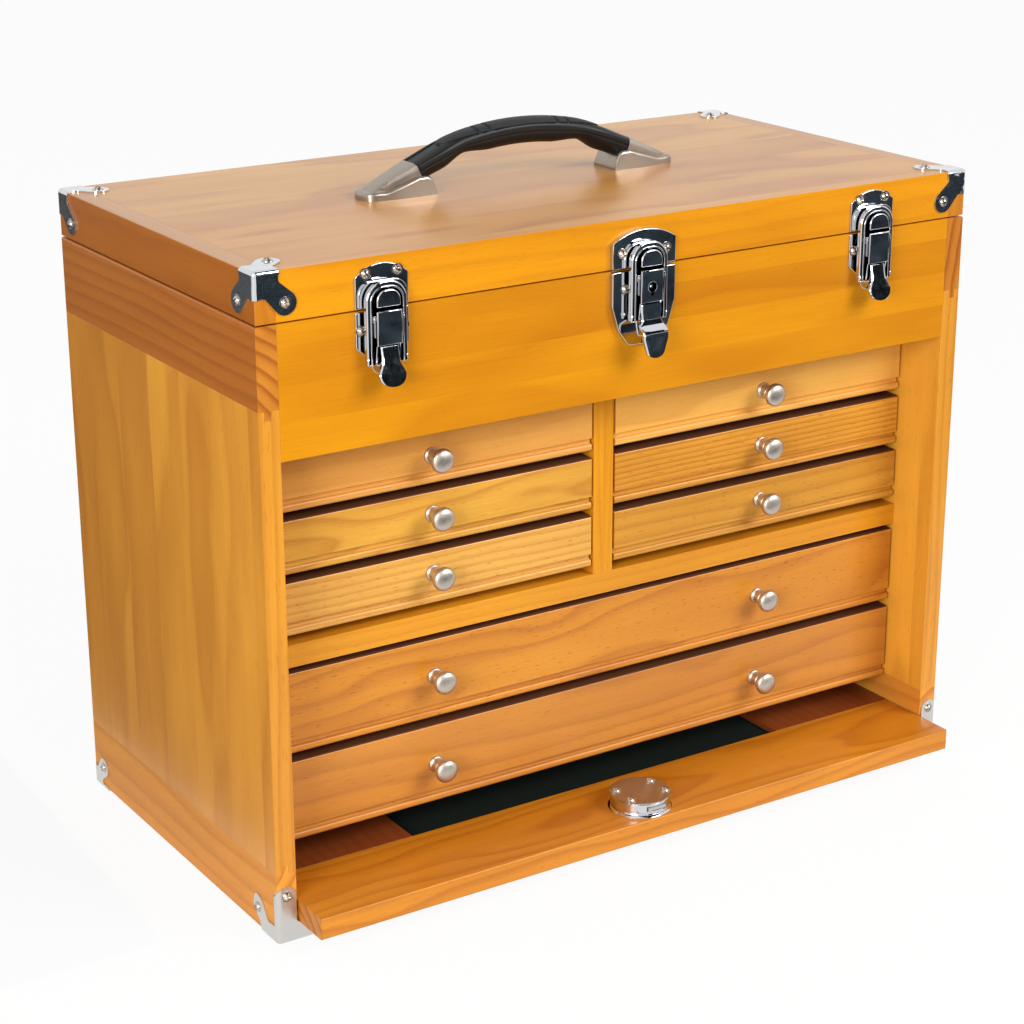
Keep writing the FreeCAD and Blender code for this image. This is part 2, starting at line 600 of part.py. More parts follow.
strap_spot = (size.strap_screw_across, size.strap_screw)
strap_face = ([(-skin, -skin), (size.strap_foot, -skin),
               (size.strap_width, size.strap_flare, size.strap_fillet),
               (size.strap_width, size.strap_top, size.strap_radius),
               (-skin, size.strap_top, size.strap_radius)], strap_spot)
ankle_spot = (size.ankle_screw, size.ankle_height)
ankle_face = ([(-skin, -skin), (size.ankle_foot, -skin),
               (size.ankle_heel, size.ankle_heel_height, size.ankle_fillet),
               (size.ankle_reach, size.ankle_height, size.ankle_round),
               (size.ankle_crown, size.ankle_crown_height, size.ankle_fillet),
               (size.ankle_brow, size.ankle_brow_height, size.ankle_fillet),
               (size.ankle_notch, size.ankle_notch_height, size.guard_fillet),
               (-skin, size.ankle_notch)], ankle_spot)
toe_face = ([(-skin, -skin), (size.toe_plate, -skin),
             (size.toe_corner, size.toe_corner, size.ankle_fillet), (-skin, size.toe_plate)], None)
foot_guard = guard("foot_guard", {"XY": toe_face, "XZ": strap_face, "YZ": ankle_face},
                   f"-{HALF}", FRONT, "case_bottom", False)
heel_spot = (size.heel_lobe, size.heel_lobe)
heel_face = (lobed(size.heel_square, size.heel_waist_across, size.heel_waist, size.heel_lobe,
                   size.heel_lobe_radius), heel_spot)
heel_guard = guard("heel_guard", {"XY": toe_face, "XZ": heel_face, "YZ": heel_face},
                   f"-{HALF}", FRONT, "case_bottom", False)
heel_left = mirrored("heel_left", heel_guard, "y")
bottom_corner_guards = group("bottom_corner_guards", [
    foot_guard, mirrored("foot_guard_right", foot_guard), heel_left, mirrored("heel_right", heel_left)])

lobe_in = size.guard_lobe
lid_spots = around([
    ((-half_x + lobe_in, front_y - skin, size.overall_height - lobe_in), (0, -1, 0)),
    ((-half_x - skin, front_y + lobe_in, size.overall_height - lobe_in), (-1, 0, 0)),
    ((-half_x + lobe_in, front_y + lobe_in, size.overall_height + skin), (0, 0, 1))])
low = size.case_bottom
case_spots = around([
    ((-half_x + strap_spot[0], front_y - skin, low + strap_spot[1]), (0, -1, 0)),
    ((-half_x - skin, front_y + ankle_spot[0], low + ankle_spot[1]), (-1, 0, 0))], False)
case_spots += around([
    ((-half_x + heel_spot[0], back_y + skin, low + heel_spot[1]), (0, 1, 0)),
    ((-half_x - skin, back_y - heel_spot[0], low + heel_spot[1]), (-1, 0, 0))], False)

# ---- latches ----------------------------------------------------------------------------------

SIDE = {"plate": "side_plate", "half": "side_plate_half", "shift": "side_shift",
        "foot": "side_plate_foot", "tip": "side_plate_tip", "end": "side_plate_end",
        "shoulder": "side_shoulder", "top": "side_strike_top", "screw": "side_strike_screw",
        "across": "side_screw_across", "boss": True}
CENTRE = {"plate": "centre_plate", "half": "centre_plate_half", "shift": "centre_shift",
          "foot": "centre_plate_foot", "tip": "centre_plate_tip", "end": "centre_plate_end",
          "shoulder": "centre_shoulder",
          "top": "centre_strike_top", "screw": "centre_strike_screw", "across": "centre_screw_across",
          "boss": False}


def latch_base(name, kind, x):
    """The plate on the case, with two ears that carry the lever's pin."""
    half = getattr(size, kind["half"])
    foot_half = getattr(size, kind["foot"])
    tip_half = getattr(size, kind["tip"])
    end = getattr(size, kind["end"])
    foot_top = end + size.plate_foot_rise
    left_side = [(-half, size.plate_top, size.plate_corner),
                 (-half, size.plate_waist, size.plate_waist_round),
                 (-foot_half, foot_top, size.plate_foot_round),
                 (-tip_half, end, size.plate_tip_round)]
    edges = outline(left_side + [(-p[0], *p[1:]) for p in reversed(left_side)])
    edges += [ring(side * size.plate_screw_across, size.plate_screw, size.screw_hole) for side in (-1, 1)]
    back_plate = put(plate(name + "_base_plate", "XZ", edges, kind["plate"]), x, FRONT)
    ears = []
    for side, near, far in (("left", "-ear_outer", "-ear_inner"), ("right", "ear_inner", "ear_outer")):
        ears.append(board(f"{name}_ear_{side}", (f"{x} + {near}", f"{x} + {far}"),
                          (f"{FRONT} - ear_out - {kind['shift']}", f"{FRONT} - {kind['plate']} / 2"),
                          ("ear_bottom", "ear_top")))
    return fused(name + "_base", [back_plate] + ears)


def latch_strike(name, kind, x):
    """The plate on the lid, with the hook that the loop pulls down on."""
    half = getattr(size, kind["half"])
    shoulder = getattr(size, kind["shoulder"])
    top = getattr(size, kind["top"])
    corner = size.plate_corner
    edges = outline([(-half, size.strike_bottom, corner), (-half, shoulder), ("through", 0, top),
                     (half, shoulder), (half, size.strike_bottom, corner)])
    screw_row = getattr(size, kind["screw"])
    screw_across = getattr(size, kind["across"])
    edges += [ring(side * screw_across, screw_row, size.screw_hole) for side in (-1, 1)]
    body = plate(name + "_strike_plate", "XZ", edges, kind["plate"])
    if kind["boss"]:
        pad(body, "XZ", outline([(-size.boss_half, size.strike_bottom, corner),
                                 (-size.boss_half, size.boss_top, size.boss_round),
                                 (size.boss_half, size.boss_top, size.boss_round),
                                 (size.boss_half, size.strike_bottom, corner)]), "side_boss")
    out = worth(f"hook_out + {kind['shift']}")
    side_form = plate(name + "_hook_side", "YZ", outline([
        (0, size.hook_bottom), (-out, size.hook_bottom),
        (-out, size.hook_top - size.hook_slope, size.hook_round), (-out / 2, size.hook_top),
        (0, size.hook_top)]), "hook_half * 2", middle=True)
    front_form = plate(name + "_hook_front", "XZ", outline([
        (-size.hook_half, size.hook_bottom), (-size.hook_half, size.hook_top, size.hook_shoulder),
        (size.hook_half, size.hook_top, size.hook_shoulder), (size.hook_half, size.hook_bottom)]),
        f"hook_out + {kind['shift']}")
    hook = common(name + "_hook", side_form, front_form)
    return put(fused(name + "_strike", [body, hook]), x, FRONT)


def lever(name, kind, x):
    """The bent lever: a face with two cheeks on the pin, a neck, a ledge and a tab to pull."""
    out = worth(f"lever_out + {kind['shift']}")
    thick = size.sheet_thick
    ledge = worth(f"ledge_out + {kind['shift']}")
    tab = worth(f"tab_out + {kind['shift']}")
    bent = plate(name + "_lever_sheet", "YZ", outline([
        (-out, size.lever_top), (-out, size.lever_step), (-ledge, size.ledge_height), (-tab, size.tab_end),
        (-tab + thick, size.tab_end), (-ledge + thick, size.ledge_height),
        (-out + thick, size.lever_step), (-out + thick, size.lever_top)]), "tab_half * 2", middle=True)
    face = size.lever_half
    left_side = [(-face, size.lever_top, size.plate_corner), (-face, size.lever_step),
                 (-size.neck_half, size.neck_height, size.neck_fillet),
                 (-size.tab_half, size.ledge_height - size.ledge_drop, size.ledge_fillet),
                 (-size.tab_half, size.tab_end + size.tab_shoulder, size.tab_round)]
    shape = plate(name + "_lever_outline", "XZ", outline(
        left_side + [(0, size.tab_end - size.tab_drop, size.tab_round)]
        + [(-p[0], *p[1:]) for p in reversed(left_side)]), "tab_out * 2")
    bent_sheet = common(name + "_lever_bent", bent, shape)
    shift = getattr(size, kind["shift"])
    near = size.cheek_in + shift
    cheek_top = size.lever_top - size.cheek_drop
    foot_round = size.cheek_foot_round
    cheek_edges = outline([(-out + thick / 2, cheek_top),
                           (-near - size.cheek_lean, cheek_top, size.plate_corner),
                           (-near, size.pivot_height - size.cheek_bend, size.cheek_fillet),
                           (-near, size.cheek_foot_height, foot_round),
                           (-near - size.cheek_foot, size.cheek_foot_height, foot_round),
                           (-out + thick / 2, size.lever_step + size.cheek_drop)])
    pin_hole = worth("pivot_radius + pivot_clear")
    cheek_edges.append(ring(-size.pivot_out - shift, size.pivot_height, pin_hole))
    cheeks = []
    for side, start in (("right", "lever_half - sheet_thick"), ("left", "-lever_half")):
        cheeks.append(put(plate(f"{name}_cheek_{side}", "YZ", cheek_edges, "sheet_thick"), start))
    stubs = [rod(f"{name}_stub_{side}", "stub_radius", "stub_half - lever_half + sheet_thick / 2", start,
                 f"-loop_pivot_out - {kind['shift']}", "loop_pivot_height", "x")
             for side, start in (("right", "lever_half - sheet_thick / 2"), ("left", "-stub_half"))]
    whole = fused(name + "_lever", [bent_sheet] + cheeks + stubs)
    return put(whole, x, FRONT)


def loop(name, kind, x):
    """The bail: an arch over the hook, whose feet turn on the lever's stubs."""
    outer = size.loop_half
    inner = size.loop_inner
    foot_z = size.loop_foot
    corner = size.plate_corner
    arch = plate(name + "_arch", "XZ", outline([
        (-outer, foot_z, corner), (-outer, size.loop_top, size.loop_corner),
        (outer, size.loop_top, size.loop_corner), (outer, foot_z, corner), (inner, foot_z),
        (inner, size.loop_inner_top, size.loop_inner_corner),
        (-inner, size.loop_inner_top, size.loop_inner_corner), (-inner, foot_z)]), "loop_thick")
    put(arch, x, f"{FRONT} - loop_in - {kind['shift']}")
    hole = rod(name + "_loop_hole", "loop_hole", "loop_half * 4", f"{x} - loop_half * 2",
               f"{FRONT} - loop_pivot_out - {kind['shift']}", "loop_pivot_height", "x")
    return cut(name + "_loop", arch, hole)


LATCHES = [("left_latch", SIDE, "-latch_offset"), ("centre_latch", CENTRE, "0"),
           ("right_latch", SIDE, "latch_offset")]
bases, strikes, moving, pins = [], [], [], []
for name, kind, x in LATCHES:
    bases.append(latch_base(name, kind, x))
    strikes.append(latch_strike(name, kind, x))
    moving += [lever(name, kind, x), loop(name, kind, x)]
    pins.append(rod(name + "_pin", "pivot_radius", "pivot_half * 2", f"{x} - pivot_half",
                    f"{FRONT} - pivot_out - {kind['shift']}", "pivot_height", "x"))
    plate_out = getattr(size, kind["plate"])
    for side in (-1, 1):
        case_spots.append(((worth(x) + side * size.plate_screw_across, front_y - plate_out,
                            size.plate_screw), (0, -1, 0)))
        lid_spots.append(((worth(x) + side * getattr(size, kind["across"]), front_y - plate_out,
                           getattr(size, kind["screw"])), (0, -1, 0)))
latch_bases = group("latch_bases", bases)
latch_strikes = group("latch_strikes", strikes)

# ---- hinges -----------------------------------------------------------------------------------

LEAF_Y = (BACK, f"{BACK} + leaf_thick")
MARGIN = "(knuckle_radius + leaf_margin)"


def knuckle(label, start, end, low, high):
    """One knuckle and the strip that joins it to its leaf, bored for the pin."""
    outer = rod(label + "_barrel", "knuckle_radius", f"({end}) - ({start})", start, PIN_Y, PIN_Z, "x")
    strip = board(label + "_strip", (start, end), LEAF_Y, (low, high))
    return [outer, strip]


def leaf(label, centre, knuckles, leaf_z, strip_z, screw_row):
    """A hinge leaf: its plate, its knuckles and the bores for the pin and two screws."""
    solids = [board(label + "_plate", (f"{centre} - hinge_half", f"{centre} + hinge_half"), LEAF_Y, leaf_z)]
    for index, (start, end) in enumerate(knuckles):
        solids += knuckle(f"{label}_knuckle_{index}", f"{centre} + {start}", f"{centre} + {end}", *strip_z)
    bores = [rod(label + "_pin_bore", "pin_hole", "hinge_half * 4", f"{centre} - hinge_half * 2",
                 PIN_Y, PIN_Z, "x")]
    bores += [rod(f"{label}_screw_bore_{side}", "screw_hole", "leaf_thick * 4",
                  f"{centre} {side} leaf_screw_across", f"{BACK} - leaf_thick", screw_row, "y")
              for side in ("-", "+")]
    return cut(label, fused(label + "_solid", solids), group(label + "_bores", bores))


case_leaves, lid_leaves = [], []
for side, centre in (("left", "-hinge_offset"), ("right", "hinge_offset")):
    outer_knuckles = [("-hinge_half", "-knuckle_half - knuckle_gap"),
                      ("knuckle_half + knuckle_gap", "hinge_half")]
    case_leaves.append(leaf(f"{side}_case_leaf", centre, outer_knuckles,
                            ("leaf_low", f"{PIN_Z} - {MARGIN}"), (f"{PIN_Z} - {MARGIN}", PIN_Z),
                            "leaf_screw_low"))
    lid_leaves.append(leaf(f"{side}_lid_leaf", centre, [("-knuckle_half", "knuckle_half")],
                           (f"{PIN_Z} + {MARGIN}", "leaf_high"), (PIN_Z, f"{PIN_Z} + {MARGIN}"),
                           "leaf_screw_high"))
    pins.append(rod(f"{side}_hinge_pin", "pin_radius", "hinge_half * 2", f"{centre} - hinge_half",
                    PIN_Y, PIN_Z, "x"))
    leaf_out = back_y + size.leaf_thick
    for way in (-1, 1):
        spot_x = worth(centre) + way * size.leaf_screw_across
        case_spots.append(((spot_x, leaf_out, size.leaf_screw_low), (0, 1, 0)))
        lid_spots.append(((spot_x, leaf_out, size.leaf_screw_high), (0, 1, 0)))
hinge_case_leaves = group("hinge_case_leaves", case_leaves)
hinge_lid_leaves = group("hinge_lid_leaves", lid_leaves)
pivot_pins = group("pivot_pins", pins)
case_screws = copies("case_screws", screw_master, case_spots)
lid_screws = copies("lid_screws", screw_master, lid_spots)

# ---- lid boards and handle --------------------------------------------------------------------

lid_z = (LID_BOTTOM, "overall_height")
lid_end_rails = group("lid_end_rails", [
    board("lid_left_rail", (f"-{HALF}", f"-{HALF} + rail_thick"), (FRONT, BACK), lid_z),
    board("lid_right_rail", (f"{HALF} - rail_thick", HALF), (FRONT, BACK), lid_z)])
between_rails = (f"-{HALF} + rail_thick", f"{HALF} - rail_thick")
lid_long_rails = group("lid_long_rails", [
    board("lid_front_rail", between_rails, (FRONT, f"{FRONT} + rail_thick"), lid_z),
    board("lid_back_rail", between_rails, (f"{BACK} - rail_thick", BACK), lid_z)])
lid_top_board = board("lid_top_board", between_rails, (f"{FRONT} + rail_thick", f"{BACK} - rail_thick"),
                      ("overall_height - lid_top_thick", "overall_height"))

HANDLE_Y = f"({FRONT} + handle_setback)"
arch_centre = size.grip_peak - size.arch_radius
lean = math.radians(size.arch_angle / 2)


def on_ray(distance):
    """A point at a distance from the arch's centre, on the ray through the grip's end."""
    return (-distance * math.sin(lean), arch_centre + distance * math.cos(lean))


grip_top = size.arch_radius + size.grip_height / 2
grip_under = size.arch_radius - size.grip_height / 2
ridge_x = on_ray(grip_top + size.ridge_out)[0] - size.ridge_lean
handle_side = outline([
    (-size.tip_half, 0), (-size.tip_half, size.tip_height, size.tip_round),
    (ridge_x, size.ridge_height + size.ridge_rise, size.ridge_round),
    on_ray(grip_top + size.collar), on_ray(grip_under - size.collar),
    (-size.shoe_half, size.shoe_height, size.shoe_round), (-size.shoe_half, 0)])
near_side = [(-size.tip_half, -size.tip_half_width, size.tip_corner),
             (-size.ridge_half, -size.handle_half, size.ridge_corner),
             (-size.shoe_half, -size.handle_half, size.shoe_corner)]
plan = outline(near_side + [(p[0], -p[1], p[2]) for p in reversed(near_side)])
side_form = plate("handle_side_form", "XZ", handle_side, "handle_half * 2", middle=True)
plan_form = plate("handle_plan_form", "XY", plan, "ridge_height * 2")
left_end = put(common("handle_left_end", side_form, plan_form), None, HANDLE_Y, "overall_height")
handle_ends = group("handle_ends", [left_end, mirrored("handle_right_end", left_end)])


def grip_body(label):
    """The grip: an oval turned through the arch's angle about an axis under the lid."""
    body = doc.addObject("PartDesign::Body", label)
    oval = Part.Ellipse(vec(0, size.arch_radius, 0), size.grip_width / 2, size.grip_height / 2)
    feature = body.newObject("PartDesign::Revolution", label + "_turn")
    profile = sketch(body, "YZ", [oval])
    feature.Profile = profile
    feature.ReferenceAxis = (profile, ["H_Axis"])
    bind(feature, "Angle", "arch_angle")
    feature.Midplane = True
    return put(body, None, HANDLE_Y, "overall_height + grip_peak - arch_radius")


handle_grip = grip_body("handle_grip")

# ---- checks and export ------------------------------------------------------------------------

doc.recompute()
nodes = [side_crossbands, side_planks, header_board, back_panel, till_floor, centre_divider,
         drawer_shelf, drawer_runners, base_board, bottom_corner_guards, case_screws,
         hinge_case_leaves, pivot_pins, latch_bases, lid_top_board, lid_end_rails, lid_long_rails,
         top_corner_guards, lid_screws, latch_strikes, handle_ends, handle_grip, hinge_lid_leaves,
         panel_frame, panel_infill, panel_felt, lock_body, lock_cover, lock_bolt, lock_plug]
nodes += moving + drawers

for thing in doc.Objects:
    if "Invalid" in thing.State or "Error" in thing.State:
        raise RuntimeError(f"{thing.Label} failed: {thing.State}")
for node in nodes:
    if node.Shape.isNull() or not node.Shape.isValid():
        raise RuntimeError(f"{node.Label} has no valid shape")
    if any(solid.Volume < SLIVER_VOLUME for solid in node.Shape.Solids):
        raise RuntimeError(f"{node.Label} has a sliver")
    node.Shape.exportStep(f"parts/{node.Label}.step")
print(len(nodes), "nodes,", sum(len(node.Shape.Solids) for node in nodes), "solids")
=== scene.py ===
import bmesh
import bpy
from math import acos, ceil, cos, pi, radians, sin, sqrt
from mathutils import Matrix, Vector


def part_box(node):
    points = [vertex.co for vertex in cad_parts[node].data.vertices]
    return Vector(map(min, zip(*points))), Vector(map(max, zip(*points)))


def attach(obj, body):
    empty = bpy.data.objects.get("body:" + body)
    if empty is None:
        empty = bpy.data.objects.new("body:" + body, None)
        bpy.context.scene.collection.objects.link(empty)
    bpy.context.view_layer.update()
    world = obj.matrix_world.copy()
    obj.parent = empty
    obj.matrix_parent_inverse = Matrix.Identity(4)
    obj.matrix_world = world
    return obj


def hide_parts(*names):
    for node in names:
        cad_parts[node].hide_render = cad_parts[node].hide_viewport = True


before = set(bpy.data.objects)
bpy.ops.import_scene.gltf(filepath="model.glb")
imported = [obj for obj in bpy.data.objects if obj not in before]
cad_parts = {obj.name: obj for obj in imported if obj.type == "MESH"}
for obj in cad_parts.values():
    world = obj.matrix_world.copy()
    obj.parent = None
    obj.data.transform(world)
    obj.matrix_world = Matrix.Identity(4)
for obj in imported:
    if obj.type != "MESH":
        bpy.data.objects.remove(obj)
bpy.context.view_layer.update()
print("frame loaded:", len(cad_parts), "nodes")

mm = 0.001
touching = 1e-3      # mm, as good as in contact
sharp = radians(30)  # edges that turn by less are left alone
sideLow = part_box("side_planks")[0]
origin = Vector((sideLow.x, sideLow.y, 0.0))    # the case's front left corner on the floor


def srgb(code):
    # sRGB hex to the linear values that a shader wants
    parts = [int(code[i:i + 2], 16) / 255 for i in (1, 3, 5)]
    return [p / 12.92 if p <= 0.04045 else ((p + 0.055) / 1.055) ** 2.4 for p in parts] + [1.0]


def fill(node, inputs):
    # sockets by place or by name; each takes a value, a socket or a node's first output
    for socket, value in (inputs.items() if isinstance(inputs, dict) else enumerate(inputs)):
        if isinstance(value, bpy.types.Node):
            value = value.outputs[0]
        if isinstance(value, bpy.types.NodeSocket):
            node.id_data.links.new(value, node.inputs[socket])
        else:
            node.inputs[socket].default_value = value
    return node


def addNode(tree, kind, inputs=(), **settings):
    # one node, with its settings and what goes into its sockets
    node = tree.nodes.new("ShaderNode" + kind)
    for name, value in settings.items():
        setattr(node, name, value)
    return fill(node, inputs)


def newMaterial(name, sockets):
    material = bpy.data.materials.new(name)
    material.use_nodes = True
    tree = material.node_tree
    return material, tree, fill(tree.nodes["Principled BSDF"], sockets)


def addPiece(name, bm, body, material, slotName, replaced=(), smoothAngle=35):
    # a mesh in mm about the case's front left corner, as a finished piece of the chest
    toFrame = Matrix.Translation(origin) @ Matrix.Scale(mm, 4)
    bmesh.ops.transform(bm, verts=bm.verts, matrix=toFrame)
    bmesh.ops.recalc_face_normals(bm, faces=bm.faces)
    mesh = bpy.data.meshes.new(name)
    bm.to_mesh(mesh)
    bm.free()
    mesh.materials.append(material)
    mesh.polygons.foreach_set("use_smooth", [True] * len(mesh.polygons))
    mesh.set_sharp_from_angle(angle=radians(smoothAngle))
    piece = bpy.data.objects.new(name, mesh)
    bpy.context.scene.collection.objects.link(piece)
    weigh = piece.modifiers.new("weigh", "WEIGHTED_NORMAL")
    weigh.keep_sharp = True
    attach(piece, body)
    if replaced:
        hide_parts(*replaced)
    return piece


def coatNode(name, material):
    # a CAD node that is shown as it is, in another material
    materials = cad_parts[name].data.materials
    materials.clear()
    materials.append(material)


def coatFaces(piece, material, chosen):
    # gives the faces that pass the test a second material
    piece.data.materials.append(material)
    for polygon in piece.data.polygons:
        if chosen(polygon):
            polygon.material_index = 1


def merged(parts):
    # several bmeshes as one, each a closed shell of its own
    whole = bmesh.new()
    for part in parts:
        mesh = bpy.data.meshes.new("part")
        part.to_mesh(mesh)
        part.free()
        whole.from_mesh(mesh)
        bpy.data.meshes.remove(mesh)
    return whole


def moved(bm, matrix):
    copy = bm.copy()
    bmesh.ops.transform(copy, verts=copy.verts, matrix=matrix)
    return copy


def combined(first, others, operation):
    # bmeshes joined or cut by Blender's exact boolean
    objects = []
    for bm in [first] + others:
        bmesh.ops.recalc_face_normals(bm, faces=bm.faces)
        mesh = bpy.data.meshes.new("solid")
        bm.to_mesh(mesh)
        bm.free()
        thing = bpy.data.objects.new("solid", mesh)
        bpy.context.scene.collection.objects.link(thing)
        objects.append(thing)
    for tool in objects[1:]:
        modifier = objects[0].modifiers.new("cut", "BOOLEAN")
        modifier.operation, modifier.object, modifier.solver = operation, tool, "EXACT"
    ready = objects[0].evaluated_get(bpy.context.evaluated_depsgraph_get())
    result = bmesh.new()
    result.from_mesh(ready.to_mesh())
    ready.to_mesh_clear()
    for thing in objects:
        mesh = thing.data
        bpy.data.objects.remove(thing)
        bpy.data.meshes.remove(mesh)
    bmesh.ops.remove_doubles(result, verts=result.verts, dist=1e-4)
    bmesh.ops.dissolve_limit(result, angle_limit=radians(0.5), verts=result.verts, edges=result.edges)
    return result


def rounded(points, turnPerStep=12):
    # a closed outline as plain points; (a, b, r) is a corner rounded to the radius r
    count = len(points)
    path = []
    for i, point in enumerate(points):
        here = Vector(point[:2])
        if len(point) < 3 or not point[2]:
            path.append(here)
            continue
        into = (here - Vector(points[i - 1][:2])).normalized()
        out = (Vector(points[(i + 1) % count][:2]) - here).normalized()
        turn = acos(max(-1, min(1, into.dot(out))))
        backOff = point[2] * sin(turn / 2) / cos(turn / 2)
        bulge = (out - into).normalized()
        centre = here + bulge * (point[2] / cos(turn / 2))
        start = here - into * backOff - centre
        sense = 1 if into.x * out.y - into.y * out.x > 0 else -1
        steps = max(2, ceil(turn / radians(turnPerStep)))
        for k in range(steps + 1):
            angle = sense * turn * k / steps
            path.append(centre + Vector((start.x * cos(angle) - start.y * sin(angle),
                                         start.x * sin(angle) + start.y * cos(angle))))
    return [(p.x, p.y) for p in path]


def arcPoints(centre, radius, startAngle, endAngle, steps):
    # points on an arc; angles in degrees from the first axis
    angles = [radians(startAngle + (endAngle - startAngle) * k / steps) for k in range(steps + 1)]
    return [(centre[0] + radius * cos(a), centre[1] + radius * sin(a)) for a in angles]


def skinned(bm, rings, capped=True):
    # faces between neighbouring rings of points, and flat caps on the two ends
    for below, above in zip(rings, rings[1:]):
        count = min(len(below), len(above))
        for k in range(count):
            n = (k + 1) % count
            bm.faces.new((below[k], below[n], above[n], above[k]))
    if capped:
        bm.faces.new(rings[0])
        bm.faces.new(rings[-1][::-1])
    return bm


def prism(outline, axis, low, high):
    # a closed outline pushed along one axis; the outline gives the other two, in X, Y, Z order
    bm = bmesh.new()
    others = [i for i in range(3) if i != axis]
    rings = []
    for level in (low, high):
        ring = []
        for a, b in outline:
            point = [0.0, 0.0, 0.0]
            point[axis], point[others[0]], point[others[1]] = level, a, b
            ring.append(bm.verts.new(point))
        rings.append(ring)
    bm.faces.new(rings[0])
    bm.faces.new(rings[1][::-1])
    skinned(bm, rings, capped=False)
    bmesh.ops.recalc_face_normals(bm, faces=bm.faces)
    return bm


def box(xs, ys, zs):
    return prism([(xs[0], ys[0]), (xs[1], ys[0]), (xs[1], ys[1]), (xs[0], ys[1])], 2, *zs)


def ease(bm, width, segments=2, where=None, sharpest=30):
    # rounds the sharp edges whose middle passes the test
    edges = [e for e in bm.edges if len(e.link_faces) == 2 and e.calc_face_angle(0) > radians(sharpest)
             and (where is None or where((e.verts[0].co + e.verts[1].co) / 2, e))]
    if edges:
        bmesh.ops.bevel(bm, geom=edges, offset=width, segments=segments, affect="EDGES", profile=0.5,
                        clamp_overlap=True)
    return bm


def lathe(profile, steps=40):
    # (radius, height) points turned about Z; a radius of 0 closes the end
    bm = bmesh.new()
    rings = []
    turns = [2 * pi * k / steps for k in range(steps)]
    for radius, height in profile:
        if radius < 1e-6:
            rings.append([bm.verts.new((0, 0, height))])
        else:
            rings.append([bm.verts.new((radius * cos(t), radius * sin(t), height)) for t in turns])
    for below, above in zip(rings, rings[1:]):
        for k in range(steps):
            n = (k + 1) % steps
            corners = [below[k % len(below)], below[n % len(below)], above[n % len(above)], above[k % len(above)]]
            unique = list(dict.fromkeys(corners))
            if len(unique) > 2:
                bm.faces.new(unique)
    return bm


def facing(direction, place):
    # turns +Z to the direction and moves to the place
    return Matrix.Translation(Vector(place)) @ Vector(direction).to_track_quat("Z", "Y").to_matrix().to_4x4()


pineLook = {
    "ringWander": 15.0,     # mm that a ring wanders along the board, which makes the cathedrals
    "fibreWidth": 0.6,      # mm, drawn coarser than the real 0.04 mm fibres so that they show
    "resinLength": 6.0,     # mm, the short dark resin canals
    "blotchLength": 90.0,   # mm, how far the stain stays even
    "ior": 1.45, "specular": 0.35, "coatRoughness": 0.14,    # stained wood under a satin lacquer
    "bump": 0.05,           # mm
    # how dark a ring is across its width: early wood darkens slowly into the late wood, which ends sharply
    "ringStart": 0.4, "ringEnd": 0.45, "ringStops": ((0.1, 0.04), (0.5, 0.15), (0.78, 0.7), (0.93, 1.0)),
}


